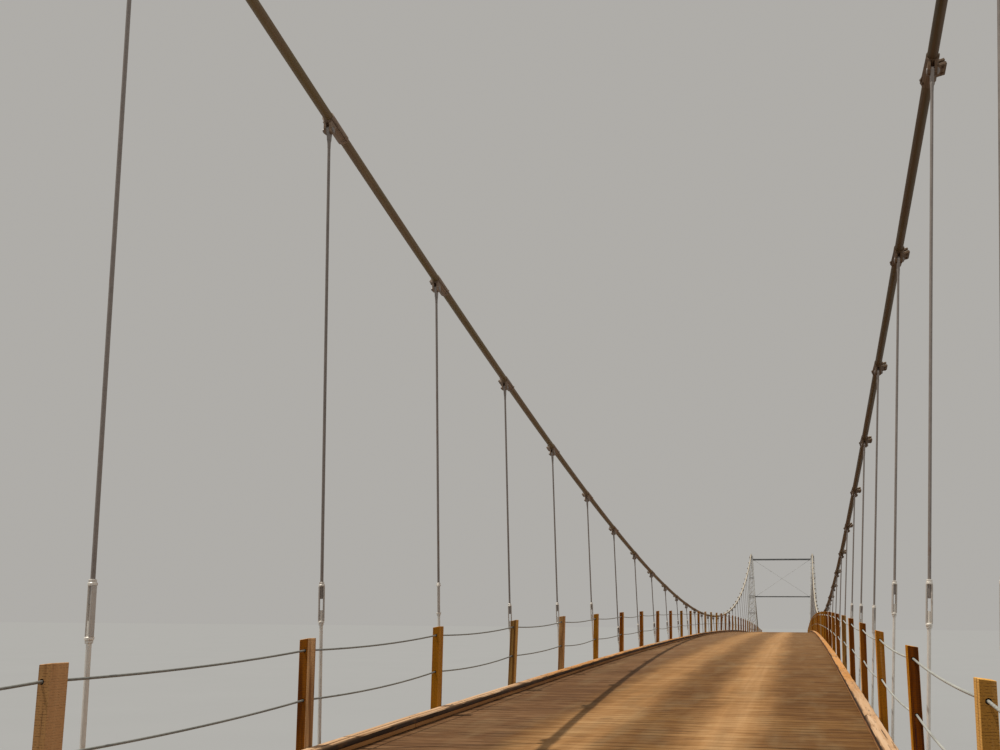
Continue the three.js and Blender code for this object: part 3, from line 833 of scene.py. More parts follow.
def concrete_material():
    s = Shader("concrete")
    z = s.place.split()[2]
    cloud = s.noise(s.place, (5, 5, 5), 7, 0.6)
    grit = s.noise(s.place, (420, 420, 420), 3)
    pits = s.cells(s.place, (130, 130, 130), "Distance").span(0.16, 0.08)
    joint = abs(z.turns(50.0) - 0.5).span(0.44, 0.5)
    s.colour = cloud.ramp({0.3: "8e877b", 0.5: "a8a296", 0.7: "bdb7aa"})
    s.tint("5d574c", s.noise(s.place, (45, 45, 2.5), 5).span(0.52, 0.72) * 0.4)
    s.tint("6b655a", joint * 0.5)
    s.tint("6f6450", (z + cloud * 0.08).span(0.09, 0.03) * 0.6)
    s.tint("6a6357", pits * 0.6)
    height = grit * 0.4 - (pits + joint * 1.2)
    return s.finish(cloud.span(0.3, 0.7, 0.82, 0.95), height, 0.0008, 0.8)


CABLE_SHADED = "3d2b0e 523d16 593e22 6e582b"
CABLE_SUNLIT = "5b4d2a 77623b 78614b 907b53"
BAND_SHADED = "3e2c18 543c22 624830 7c6040"
BAND_SUNLIT = "5a4a38 766251 8a7462 a08a72"

# Each material with the slot it fills
MATERIALS = {
    "plank": (plank_material(), "plank_timber"),
    "post": (post_material(), "post_timber"),
    "kerb": (kerb_material(), "kerb_timber"),
    "strip": (strip_material(), "kerb_timber"),
    "framing": (framing_material(), "framing_timber"),
    "cable": (cable_material("main_cable", CABLE_SHADED, CABLE_SUNLIT, True), "cable_steel"),
    "band": (cable_material("cable_band", BAND_SHADED, BAND_SUNLIT, False), "cable_steel"),
    "galvanised": (galvanised_material("galvanised_steel", "665d58", "9a918b", "ece7df", 0.3),
                   "galvanised_steel"),
    "beam": (galvanised_material("beam_steel", "5c5a58", "8f8c8a", "b3b1ae", 0.35), "galvanised_steel"),
    "paint": (paint_material(), "tower_steel"),
    "rope": (rope_material(), "galvanised_steel"),
    "concrete": (concrete_material(), "concrete"),
}


# Main cables, bands and hangers

def main_cable(name, side):
    b = Build()
    half = []
    for start, stop, step in ((0.0, BEND_Y, PANEL / 6),
                              (BEND_Y + SADDLE_HALF / 4, HALF_SPAN + SADDLE_HALF, SADDLE_HALF / 4),
                              (HALF_SPAN + 2 * SADDLE_HALF, ANCHOR_Y, 0.1)):
        half += [*np.arange(start, stop, step), stop]
    places = [-y for y in reversed(half)] + half[1:]
    b.tube([cable_point(side, y) for y in places], CABLE_RADIUS, 20, CABLE_TONES[side])
    b.piece(name + "_cable", "cable", [name + "_main_cable"])


def bolt(b, low, high, head, radius, tone):
    """A bolt standing through plates from low to high, with nuts set in from its ends."""
    along = unit(high - low)
    b.disc(low, along, radius, np.linalg.norm(high - low), 0.0002, 8, tone)
    for end, inward in ((low, along), (high, -along)):
        b.nut(end + inward * head, inward, 1.9 * radius, 0.0013, tone)


def cable_band(b, name, side, n):
    """A cast band in two halves bolted round the cable, with ears outboard and a lip inboard."""
    y = n * PANEL
    downhill = 1 if n <= 0 else -1
    station = cable_point(side, y)
    level = axes_for(cable_point(side, y + 0.02) - cable_point(side, y - 0.02))
    roll = -side * math.radians(BAND_ROLLS[name].get(n, rng.uniform(12, 28)))
    axes = np.array([level[0], math.cos(roll) * level[1] + math.sin(roll) * level[2],
                     math.cos(roll) * level[2] - math.sin(roll) * level[1]])
    tone = CABLE_TONES[side] + rng.uniform(-0.1, 0.1)

    def at(along, across, lift):
        return station + np.array([downhill * along, -side * across, lift]) @ axes

    for sign, outer, (low, high) in ((1, BAND_OUTER[0], EAR_UPPER), (-1, BAND_OUTER[1], EAR_LOWER)):
        ring = half_ring(CABLE_RADIUS, outer, sign)
        b.prism(ring, at(BAND_FROM, 0, 0), at(BAND_TO, 0, 0), axes[2], tone)
        middle = at((EAR_FROM + EAR_TO) / 2, (EAR_ROOT + EAR_REACH) / 2, (low + high) / 2)
        b.box(middle, (EAR_TO - EAR_FROM, EAR_REACH - EAR_ROOT, high - low), 0.0004, tone, axes)
        lip = [(side * across, downhill * along) for along, across in LIP_OUTLINE]
        b.prism(lip, at(0, 0, sign * LIP_HEIGHTS[0]), at(0, 0, sign * LIP_HEIGHTS[1]), axes[0], tone)
    for along in EAR_BOLTS:
        low = at(along, EAR_BOLT_X, EAR_LOWER[0] - EAR_BOLT_PAST)
        high = at(along, EAR_BOLT_X, EAR_UPPER[1] + EAR_BOLT_PAST)
        bolt(b, low, high, 0.0005, EAR_BOLT_RADIUS, tone)
    bolt(b, at(*LIP_BOLT, -LIP_BOLT_HALF), at(*LIP_BOLT, LIP_BOLT_HALF), 0.0011, LIP_BOLT_RADIUS, tone)
    pin = hanger_point(side, y, cable_z(y) - PIN_DROP)
    down = unit(pin - station)
    across = unit(np.cross(down, axes[0]))
    drop = np.linalg.norm(pin - station)
    cheek = [(0.012, CHEEK_TOP), (0.0065, 0.009), *arc_points(EYE_RADIUS, -0.3, math.pi, 9, drop),
             (-EYE_RADIUS + 0.0005, CHEEK_TOP)]
    for sign in (-1, 1):
        b.prism([(-downhill * sign * u, v) for u, v in cheek], station + across * sign * CHEEK_INNER,
                station + across * sign * CHEEK_OUTER, down, tone)


def hanger_eye(b, side, n, tone):
    """A flat eye on the pin between the cheeks, drawn out into the rod."""
    y = n * PANEL
    z = cable_z(y) - PIN_DROP
    pin = hanger_point(side, y, z)
    down = unit(hanger_point(side, y, z - 0.05) - pin)
    inboard = unit(np.cross(down, (0, -side, 0)))
    eye = arc_points(EYE_RADIUS - 0.0004, math.pi - 0.3, 2 * math.pi + 0.3, 12)
    eye += [(SHANK_HALF + 0.0005, 0.008), (SHANK_HALF, SHANK_TO), (-SHANK_HALF, SHANK_TO),
            (-SHANK_HALF - 0.0005, 0.008)]
    half = inboard * EYE_THICK / 2
    b.prism(eye, pin - half, pin + half, down, tone)
    neck = [(0, 0.0018), (0.0008, 0.0021), (0.003, 0.0019), (NECK_TO - SHANK_TO, HANGER_RADIUS)]
    b.lathe(neck, pin + down * (SHANK_TO - 0.0006), down, 12, tone)
    tail = CHEEK_OUTER + 0.0028
    b.lathe([(-tail, 0.0015), (-tail + 0.0003, PIN_RADIUS), (CHEEK_OUTER + 0.0007, PIN_RADIUS),
             (CHEEK_OUTER + 0.001, 0.0014)], pin, inboard, 12, tone)
    washer = [(0, WASHER_RADIUS), (0.0005, WASHER_RADIUS), (0.0006, 0.0026), (0.0008, 0.0025)]
    b.lathe(washer, pin + inboard * CHEEK_OUTER, inboard, 16, tone)
    b.nut(pin - inboard * CHEEK_OUTER, -inboard, WASHER_RADIUS, 0.0021, tone)


def turnbuckle(b, low, high, turn, tone):
    along = unit(high - low)
    axes = axes_for(along, (math.cos(turn), math.sin(turn), 0))
    for base, inward in ((low, along), (high, -along)):
        b.nut(base, inward, LOCK_RADIUS, COLLAR_THICK, tone + 0.2)
        b.disc(base + inward * COLLAR_THICK, inward, COLLAR_RADIUS, COLLAR_THICK, 0.0004, 16, tone + 0.3)
    inner = np.linalg.norm(high - low) - 4 * COLLAR_THICK
    for sign in (-1, 1):
        middle = (low + high) / 2 + axes[2] * sign * (FRAME_ACROSS - BAR_THICK) / 2
        b.box(middle, (inner + 0.001, BAR_WIDE, BAR_THICK), 0.0006, tone, axes)


def hanger(rods, buckles, name, side, n):
    """Eye, rod, turnbuckle where there is room for one, and the fixing below the floor beam."""
    y = n * PANEL
    deck = deck_z(y)

    def at(z):
        return hanger_point(side, y, z)

    top = at(cable_z(y) - PIN_DROP - NECK_TO + 0.001)
    foot = at(deck - HANGER_FOOT_DROP - 0.0045)
    # The east rods are painted a little paler and the rods below the turnbuckles much paler, as painted light
    tone = rng.uniform(0.3, 0.42) + (0.06 if side > 0 else 0.0)
    hanger_eye(rods, side, n, tone)
    # Turnbuckles sit lower on the shorter hangers
    usual = next(lift for past, lift in BUCKLE_LIFTS if abs(n) > past)
    lift = NEAR_LIFTS[name].get(n, usual)
    if cable_z(y) - deck > BUCKLE_HIGH + lift + BUCKLE_ROOM + PIN_DROP + NECK_TO:
        low = deck + BUCKLE_LOW + lift
        high = low + BUCKLE_HIGH - BUCKLE_LOW
        ends = 2 * COLLAR_THICK
        inner = high - low - 2 * ends
        rods.tube([foot, at(low + ends + ROD_INSIDE_LOW * inner)], HANGER_RADIUS * 1.06, 12, tone + 0.6)
        rods.tube([at(high - ends - ROD_INSIDE_HIGH * inner), top], HANGER_RADIUS * 0.95, 12, tone)
        turn = math.radians(NEAR_TURNS[name].get(n, rng.uniform(0, 180)))
        turnbuckle(buckles, at(low), at(high), turn, tone + 0.35)
    else:
        rods.tube([foot, top], HANGER_RADIUS, 12, tone + 0.3)
    seat = deck + BEAM_TOP - BEAM_DEPTH - 0.0003
    rods.box((side * FOOT_PLATE_X, y, seat - FOOT_PLATE[2] / 2), FOOT_PLATE, 0.0003, 0.4)
    for k in (1, 2):
        rods.nut(at(seat - FOOT_PLATE[2] - k * (FOOT_NUT[1] + 0.0001)), (0, 0, 1), *FOOT_NUT)


def hangers_of(name, side):
    bands, rods, buckles = Build(), Build(), Build()
    for n in range(-LAST_HANGER, LAST_HANGER + 1):
        cable_band(bands, name, side, n)
        hanger(rods, buckles, name, side, n)
    bands.piece(name + "_cable_bands", "band")
    rods.piece(name + "_hanger_rods", "galvanised")
    buckles.piece(name + "_turnbuckles", "galvanised")


# Railings

def post_stands(name):
    """Each post's station, shift outboard, place along the bridge, lean, hole offset and top slant."""
    stands = []
    for n in range(-LAST_POST, LAST_POST + 1):
        usual = (0.0, rng.uniform(-0.0015, 0.0015), rng.uniform(-0.0015, 0.0015),
                 rng.uniform(-0.0008, 0.0008), rng.uniform(0.0005, 0.002))
        outboard, along, lean, hole, slant = POST_STANDS[name].get(n, usual)
        stands.append((n, outboard, n * PANEL + POST_SHIFT + along, lean, hole, slant))
    return stands


def rail_post(b, name, side, stand):
    """A sawn post with two round holes bored through it along the bridge."""
    n, outboard, y, lean, hole, slant = stand
    deck = deck_z(y)
    tone = POST_TONES[name].get(n, rng.choice(OTHER_TONES))
    top = deck + POST_TOP - rng.uniform(0.0, 0.0005)
    foot = deck - POST_FOOT
    half_x, half_y = POST_SIZE[0] / 2, POST_SIZE[1] / 2
    reach = half_x - POST_EASE
    levels = [foot, foot + POST_EASE]
    patches = []
    for height in sorted(ROPE_HEIGHTS):
        patches.append(len(levels))
        levels += [deck + height - reach, deck + height + reach]
    levels += [top - POST_EASE, top]
    last = len(levels) - 1
    points = []
    for k, z in enumerate(levels):
        shrink = POST_EASE if k in (0, last) else 0.0
        fall = slant if k >= last - 1 else 0.0
        for px, py in octagon(half_x, half_y, POST_EASE):
            lower = fall * (0.5 + side * px / POST_SIZE[0])
            points.append((px - math.copysign(shrink, px), py - math.copysign(shrink, py), z - lower))
    faces, marks = [], []
    for number, face in enumerate(skin(len(levels), 8)):
        k, i = divmod(number, 8)
        if k in patches and i in (0, 4):
            continue
        faces.append(face)
        if k == last:
            marks.append(MARK_END)
        elif i % 2 or k in (0, last - 1):
            marks.append(MARK_EASED)
        else:
            marks.append(MARK_ALONG if i in (0, 4) else MARK_SIDE)
    for k in patches:
        centre_z = (levels[k] + levels[k + 1]) / 2
        rims = []
        for i, front in ((0, -1), (4, 1)):
            corners = [8 * k + i, 8 * k + i + 1, 8 * (k + 1) + i + 1, 8 * (k + 1) + i]
            start = len(points)
            rims.append(start)
            for u, v in arc_points(HOLE_RADIUS, -0.75 * math.pi, 1.25 * math.pi, HOLE_SIDES)[:-1]:
                points.append((side * hole - front * u, front * half_y, centre_z + v))
            for quarter in range(4):
                ring = [start + (quarter * 4 + m) % HOLE_SIDES for m in range(5)]
                faces.append([corners[quarter], corners[(quarter + 1) % 4]] + ring[::-1])
                marks.append(MARK_ALONG)
        front, back = rims
        for m in range(HOLE_SIDES):
            j = (m + 1) % HOLE_SIDES
            mirror = [back + (12 - v) % HOLE_SIDES for v in (m, j)]
            faces.append([front + m, front + j, mirror[1], mirror[0]])
            marks.append(MARK_HOLE)
    points = np.array(points)
    local = points[:, [2, 0, 1]] - np.array([foot, 0, 0])
    points[:, 0] += side * (POST_X + outboard + lean * (points[:, 2] - deck) / POST_TOP)
    points[:, 1] += y
    b.add(points, local, faces, tone, marks)
    # A block behind the post, under the deck
    b.box(on_deck(side * POST_BLOCK_X, y, -0.024), POST_BLOCK, 0.0006, 0.2)


def rail_posts(name, side, stands):
    b = Build()
    bolts = Build()
    out = (side, 0, 0)
    for stand in stands:
        rail_post(b, name, side, stand)
        _, outboard, y, lean, _, _ = stand
        for drop in POST_BOLT_DROPS:
            face = on_deck(side * (POST_X + POST_SIZE[0] / 2 + outboard - lean * drop / POST_TOP), y, -drop)
            bolts.lathe([(0, 0.0021), (0.0004, 0.0021)], face, out, 12, 0.6)
            bolts.nut(face + np.array(out) * 0.0004, out, 0.0014, 0.0011, 0.7)
    b.piece(name + "_posts", "post", [name + "_railing"])
    bolts.piece(name + "_post_bolts", "galvanised")


def wire_ropes(name, side, stands):
    """Ropes through the posts' holes, hanging a little slack from post to post."""
    b = Build()
    for height in ROPE_HEIGHTS:
        path = []
        for _, outboard, y, lean, hole, _ in stands:
            x = side * (POST_X + outboard + lean * height / POST_TOP + hole)
            front = np.array([x, y - POST_SIZE[1] / 2, deck_z(y) + height])
            if path:
                start = path[-1]
                sag = rng.uniform(*ROPE_SAG)
                for k in range(1, 12):
                    t = k / 12
                    path.append(lerp(start, front, t) - np.array([0, 0, 4 * sag * t * (1 - t)]))
            path.append(front)
            path.append(front + np.array([0, POST_SIZE[1], 0]))
        # The west ropes take a low tone, which paints them darker as painted shade
        b.tube(path, ROPE_RADIUS, 10, 0.1 if side < 0 else 0.9)
    b.piece(name + "_wire_ropes", "rope", smooth=60)


# Deck, kerbs and framing

def deck_planks(name, node, y0, y1):
    b = Build()
    pitch = PANEL / PLANKS_PER_PANEL
    run = 0.5
    for k in range(round((y1 - y0) / pitch)):
        y = y0 + (k + 0.5) * pitch
        run = min(max(run + rng.uniform(-0.25, 0.25), 0.1), 0.9)
        tone = lerp(run, rng.random(), 0.6)
        left = PLANK_HALF - rng.uniform(0, 0.002)
        right = PLANK_HALF - rng.uniform(0, 0.002)
        z = deck_z(y) - PLANK_THICK / 2 + rng.uniform(-0.00015, 0.0)
        slope = (deck_z(y + pitch / 2) - deck_z(y - pitch / 2)) / pitch
        tilt = rng.uniform(-0.0003, 0.0003)
        b.beam((-left, y, z - tilt), (right, y, z + tilt), pitch - rng.uniform(0.0003, 0.0006),
               PLANK_THICK - 0.0002, (0, -slope, 1), rng.uniform(0.0004, 0.0008), tone)
    b.piece(name, "plank", [node])


def worn_timber(b, start, stop, width, height, tone):
    """A timber whose upper edges have worn unevenly along it."""
    length = np.linalg.norm(stop - start)
    count = max(3, round(length / WEAR_STEP))
    w, h, ease = width / 2, height / 2, 0.0012
    worn = []
    for _ in range(2):
        rough = [rng.uniform(0, WEAR) * (2.2 if rng.random() < 0.1 else 1.0) for _ in range(count + 3)]
        worn.append([sum(rough[k:k + 3]) / 3 for k in range(count + 1)])
    local = []
    for k, (right, left) in enumerate(zip(*worn)):
        ring = ((-w + ease, -h), (w - ease, -h), (w - 0.4 * right, -h + ease),
                (w - right, h - ease - 0.4 * right), (w - ease - right, h), (-w + ease + left, h),
                (-w + left, h - ease - 0.4 * left), (-w + 0.4 * left, -h + ease))
        local += [(length * k / count, u, v) for u, v in ring]
    local = np.array(local)
    b.add(start + local @ axes_for(stop - start), local, skin(count + 1, 8), tone)


def kerb(name, side):
    """Timbers laid end to end on a thin strip, bolted down through the planks."""
    b = Build()
    strip = Build()
    bolts = Build()
    middle = side * (KERB_IN + KERB_OUT) / 2
    low = KERB_STRIP + 0.0001
    height = KERB_TOP - low
    last = DECK_END - 0.0005
    y = -last
    while y < DECK_END - 0.002:
        stop = min(y + rng.choice(KERB_LENGTHS), last)
        if DECK_END - stop < 0.12:
            stop = last
        x = middle + side * rng.uniform(-0.0003, 0.0)
        rise = rng.uniform(-0.0007, 0.0)
        worn_timber(b, *laid(x, y, stop, low + height / 2 + rise, 0.0004), KERB_OUT - KERB_IN,
                    height - 0.0007, rng.random() * (1.0 if side > 0 else 0.5))
        for place in (y + rng.uniform(0.02, 0.07), stop - rng.uniform(0.02, 0.07)):
            z = lerp(deck_z(y), deck_z(stop), (place - y) / (stop - y)) + KERB_TOP + rise - 0.0005
            bolts.lathe([(0, 0.0013), (0.0002, 0.0012), (0.0004, 0.0007)], (x, place, z), (0, 0, 1), 12, 0.1)
        y = stop
    for k in range(round(2 * DECK_END / PANEL)):
        y = k * PANEL - DECK_END
        strip.beam(*laid(middle + side * 0.0004, y, y + PANEL, KERB_STRIP / 2 + 0.0002, 0.0005),
                   KERB_OUT - KERB_IN - 0.0012, KERB_STRIP - 0.0002, ease=0.0004, tone=rng.random())
    b.piece(name + "_kerb_timbers", "kerb", [name + "_kerb"])
    strip.piece(name + "_kerb_strip", "strip")
    bolts.piece(name + "_kerb_bolts", "beam")


def stringers(b, y0, y1):
    """Timbers from beam to beam, side by side on each line."""
    joints = np.linspace(y0, y1, round((y1 - y0) / PANEL) + 1)
    for x in STRINGER_X:
        for start, stop in zip(joints, joints[1:]):
            b.beam(*laid(x, start, stop, STRINGER_TOP - STRINGER_DEPTH / 2, 0.0003), STRINGER_WIDTH,
                   STRINGER_DEPTH - 0.0004, ease=0.0008, tone=rng.random())


def floor_beam(b, y):
    z = deck_z(y) + BEAM_TOP - BEAM_DEPTH / 2
    top = z + BEAM_DEPTH / 2
    b.prism(i_outline(BEAM_WIDTH, BEAM_DEPTH), (-BEAM_HALF, y, z), (BEAM_HALF, y, z),
            tone=rng.uniform(0.3, 0.5))
    for x in STIFFENER_X:
        for sign in (-1, 1):
            b.box((x, y + sign * 0.0042, z), (0.001, 0.0068, BEAM_DEPTH - 0.0034), 0.0002, 0.4)
    for x in STRINGER_X:
        for sign in (-1, 1):
            b.box((x + sign * 0.0112, y, top + 0.004), (0.001, 0.012, 0.008), 0.0002, 0.5)
            b.nut((x + sign * 0.0117, y, top + 0.005), (sign, 0, 0), 0.0013, 0.0009, 0.7)


def main_framing(k, y0, y1):
    timber = Build()
    steel = Build()
    stringers(timber, y0, y1)
    for n in range(-LAST_HANGER, LAST_HANGER + 1):
        if y0 < n * PANEL < y1:
            floor_beam(steel, n * PANEL)
    timber.piece("stringers_%d" % k, "framing", ["floor_framing_%d" % k])
    steel.piece("floor_beams_%d" % k, "beam")


def approach_framing(end, sign):
    timber = Build()
    steel = Build()
    start = sign * (HALF_SPAN + 0.0285)
    stop = sign * (DECK_END - 0.0005)
    mid = GIRDER_TOP - GIRDER_DEEP / 2
    stringers(timber, *sorted((sign * (HALF_SPAN + 0.0003), stop)))
    for n in (17, 18.5, 20):
        floor_beam(steel, sign * n * PANEL)
    for side in (-1, 1):
        x = side * GIRDER_X
        steel.prism(i_outline(GIRDER_WIDTH, GIRDER_DEEP, 0.0024, 0.0016), on_deck(x, start, mid),
                    on_deck(x, stop, mid), tone=0.4)
        for k in range(1, 12):
            for face in (-1, 1):
                steel.box(on_deck(x + face * 0.0062, lerp(start, stop, k / 12), mid),
                          (0.0105, 0.0012, GIRDER_DEEP - 0.005), 0.0002, 0.4)
    for n in (17.6, 19.3):
        for lift in (-0.016, 0.016):
            steel.beam(on_deck(-GIRDER_X, sign * n * PANEL, mid + lift),
                       on_deck(GIRDER_X, sign * n * PANEL, mid - lift), 0.004, 0.004, tone=0.4)
    timber.piece(end + "_approach_stringers", "framing", [end + "_approach_framing"])
    steel.piece(end + "_approach_girders", "beam")


# Towers

def tower_leg(place, y, side):
    b = Build()
    x = side * CABLE_TOWER_X

    def corner(signs, z):
        w = leg_width(z) / 2
        return np.array([x + signs[0] * w, y + signs[1] * w, z])

    walls = []
    for near, far in zip(LEG_CORNERS, LEG_CORNERS[1:] + LEG_CORNERS[:1]):
        walls.append((near, far, np.array([near[0] + far[0], near[1] + far[1], 0.0]) / 2))
    foot = LEG_FOOT_Z + 0.004
    for signs in LEG_CORNERS:
        b.prism(angle_outline(signs[0], -signs[1]), corner(signs, foot), corner(signs, LEG_TOP_Z - 0.002),
                (0, -1, 0), 0.75)
    # Double lacing, its panels as tall as the leg is wide there
    z = foot + 0.012
    while z < LEG_TOP_Z - 0.05:
        above = min(z + max(0.9 * leg_width(z), 0.03), LEG_TOP_Z - 0.045)
        for near, far, out in walls:
            for (low, high), depth in zip(((near, far), (far, near)), LACING_DEPTHS):
                b.beam(corner(low, z) + out * depth, corner(high, above) + out * depth, *LACING, out, 0.0002,
                       0.82)
            for signs in (near, far):
                b.lathe(LACING_RIVET, corner(signs, z) + out * 0.0053, out, 8, 0.7)
        z = above
    for z, deep in BATTENS:
        for near, far, out in walls:
            ends = [corner(signs, z) + out * 0.0048 for signs in (near, far)]
            b.beam(*ends, deep, BATTEN_THICK, out, 0.0002, 0.58)
            for spot in ends:
                for lift in (-0.3, 0.3):
                    b.lathe(BATTEN_RIVET, spot + np.array([0, 0, lift * deep]) + out * 0.0005, out, 8, 0.7)
    b.box((x, y, LEG_FOOT_Z + 0.0028), BASE_PLATE, 0.0006, 0.45)
    for cx, cy in LEG_CORNERS:
        for ox, oy in ((0.066, 0.045), (0.045, 0.066)):
            spot = (x + cx * ox, y + cy * oy, LEG_FOOT_Z + 0.0053)
            b.nut(spot, (0, 0, 1), 0.0036, 0.003)
            b.lathe([(0, 0.0018), (0.0065, 0.0018)], spot, (0, 0, 1), 8, 0.7)
    b.box((x, y, LEG_TOP_Z - HEAD_PLATE[2] / 2), HEAD_PLATE, 0.0005, 0.5)
    for size in ((0.034, 0.0012, 0.01), (0.0012, 0.034, 0.01)):
        b.box((x, y, LEG_TOP_Z - 0.009), size, 0.0003, 0.5)
    b.piece(place + "_leg_lattice", "paint", [place + "_tower_leg"])


def portal_struts(end, y):
    """Two struts of laced channels between the legs, and crossed rods with turnbuckles between them."""
    b = Build()
    top, low = [CABLE_TOWER_X - leg_width(z) / 2 - ANGLE / 2 for z in (TOP_STRUT_Z, LOW_STRUT_Z)]
    for half, (z, deep, gap) in zip((top, low), STRUTS):
        for sign in (-1, 1):
            b.prism(channel_outline(CHANNEL_WIDTH, deep, -sign), (-half, y + sign * gap, z),
                    (half, y + sign * gap, z), tone=0.0)
        for face in (-1, 1):
            level = z + face * (deep / 2 + 0.0002)
            for k in range(STRUT_BAYS):
                swing = gap if k % 2 else -gap
                b.beam((lerp(-half, half, k / STRUT_BAYS), y - swing, level),
                       (lerp(-half, half, (k + 1) / STRUT_BAYS), y + swing, level), 0.0032, 0.0007,
                       ease=0.0002, tone=0.2)
        b.box((0, y, z + deep / 2 + 0.0005), (0.02, 2 * gap + 0.004, 0.0006), 0.0002, 0.5)
        for side in (-1, 1):
            b.box((side * (half - 0.014), y, z), (0.022, 0.0012, deep + 0.003), 0.0003, 0.1)
    for side in (-1, 1):
        a = np.array([side * (top - 0.02), y + side * 0.0016, TOP_STRUT_Z - 0.012])
        c = np.array([-side * (low - 0.02), y + side * 0.0016, LOW_STRUT_Z + 0.012])
        b.tube([a, c], BRACE_RADIUS, 10, 0.45)
        along = unit(c - a)
        for spot, inward in ((a, along), (c, -along)):
            b.box(spot + inward * 0.006, (0.012, 0.0036, 0.0032), 0.0008, 0.45, axes_for(inward, (0, 1, 0)))
            b.lathe([(-0.004, 0.0016), (0.004, 0.0016)], spot, (0, 1, 0), 10, 0.6)
        buckle = [(-0.012, 0.0018), (-0.01, 0.0026), (0.01, 0.0026), (0.012, 0.0018)]
        b.lathe(buckle, lerp(a, c, 0.3), along, 12, 0.5)
    b.piece(end + "_portal_struts", "paint", [end + "_portal_bracing"])


def transom(end, y):
    """Two deep plate girders under the deck, from leg to leg."""
    b = Build()
    _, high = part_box(end + "_transom")
    z = deck_z(y) + BEAM_TOP - TRANSOM_DROP
    half = high.x - 0.0003
    for sign in (-1, 1):
        web = y + sign * TRANSOM_WEB_Y
        b.prism(i_outline(*TRANSOM_BEAM), (-half, web, z), (half, web, z), tone=0.45)
        for k in range(-6, 7):
            b.box((k * 0.042, web + sign * 0.006, z), (0.0012, 0.0105, 0.066), 0.0003, 0.45)
    for k in range(-3, 4):
        b.box((k * 0.084, y, z), (0.0012, 0.028, 0.06), 0.0003, 0.45)
    b.piece(end + "_transom_girders", "paint", [end + "_transom"])


def saddle(place, y, side):
    """A cast cradle for the cable, with ribs and keeper straps."""
    b = Build()
    x = side * CABLE_TOWER_X
    base = LEG_TOP_Z + 0.0003
    b.box((x, y, base + 0.0015), (0.024, 2 * CRADLE_HALF, 0.003), 0.0005, 0.45)
    steps = [lerp(-CRADLE_HALF, CRADLE_HALF, k / 10) for k in range(11)]
    for offset, thick, rise in ((0.0, 0.011, -CABLE_RADIUS + 0.0002), (-0.0066, 0.0022, 0.0005),
                                (0.0066, 0.0022, 0.0005)):
        outline = [(p, cable_z(y + p) + rise - base) for p in steps]
        outline += [(CRADLE_HALF, 0.0025), (-CRADLE_HALF, 0.0025)]
        b.prism(outline, (x + offset + thick / 2, y, base), (x + offset - thick / 2, y, base))
    for shift in (-0.018, 0.0, 0.018):
        for sign in (-1, 1):
            b.box((x + sign * 0.0095, y + shift, base + 0.0065), (0.004, 0.002, 0.009), 0.0004, 0.5)
    for shift in (-0.012, 0.012):
        height = cable_z(y + shift) - 0.002
        strap = [(x + 0.0068 * u, y + shift, height + 0.0082 * v) for u, v in arc_points(1, 0, math.pi, 10)]
        b.tube(strap, 0.0008, 8, 0.6)
    for cx, cy in PAIRS:
        b.nut((x + cx * 0.0095, y + cy * 0.0235, base + 0.003), (0, 0, 1), 0.0016, 0.0014)
    b.piece(place + "_cradle", "galvanised", [place + "_saddle"])


# Concrete

def tapered_block(b, x, y, foot, top, height):
    """A square shaft that narrows upwards, with eased corners and a projecting band at its head."""
    under = height - BAND_HIGH
    levels = [(0.0, foot / 2), (under, lerp(foot, top, under / height) / 2 - 0.004),
              (under + 0.004, top / 2), (height - 0.003, top / 2), (height, top / 2 - 0.003)]
    points = np.array([(x + px, y + py, z) for z, half in levels for px, py in octagon(half, half, 0.006)])
    b.add(points, points, skin(len(levels), 8), 0.5)


def pier(end, y):
    b = Build()
    for side in (-1, 1):
        tapered_block(b, side * CABLE_TOWER_X, y, PIER_FOOT, PIER_TOP, LEG_FOOT_Z)
    b.box((0, y, PIER_WALL[2] / 2), PIER_WALL, 0.003)
    b.box((0, y, PIER_CAP_Z), PIER_CAP, 0.002)
    b.piece(end + "_pier_concrete", "concrete", [end + "_pier"])


def eased_profile(b, node, sign, profile, ease=0.0025):
    """A side profile of (distance from mid-span, height) points pushed across a node's width, edges eased."""
    low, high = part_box(node)
    corners = np.array(anticlockwise([(sign * y, z) for y, z in profile]))
    count = len(corners)
    inset = []
    for i in range(count):
        before = unit(corners[i] - corners[i - 1])
        after = unit(corners[(i + 1) % count] - corners[i])
        normal = np.array([-before[1] - after[1], before[0] + after[0]])
        inset.append(corners[i] + normal * ease / max(1 + before @ after, 0.2))
    rings = [(low.x, inset), (low.x + ease, corners), (high.x - ease, corners), (high.x, inset)]
    world = np.array([(x, p[0], p[1]) for x, ring in rings for p in ring])
    b.add(world, world, skin(len(rings), count), 0.5)


def abutment(end, sign):
    b = Build()
    road = deck_z(DECK_END)
    seat = road + GIRDER_TOP - GIRDER_DEEP - 0.0003
    front = DECK_END - 0.034
    face = DECK_END + BACK_WALL
    back = DECK_END + 0.03
    wall = [(front, 0.0), (back, 0.0), (back, road), (face, road), (face, seat), (front, seat)]
    eased_profile(b, end + "_abutment", sign, wall)
    for side in (-1, 1):
        b.box((side * GIRDER_X, sign * (DECK_END - 0.017), seat - 0.0005), (0.036, 0.024, 0.0016), 0.0003)
    b.piece(end + "_abutment_concrete", "concrete", [end + "_abutment"])


def wing_wall(place, sign):
    b = Build()
    road = deck_z(DECK_END)
    stop = WING_START + WING_LONG
    wall = [(WING_START, 0.0), (stop, 0.0), (stop, road - WING_FALL), (WING_START, road)]
    eased_profile(b, place + "_wing_wall", sign, wall)
    b.piece(place + "_wing_concrete", "concrete", [place + "_wing_wall"])


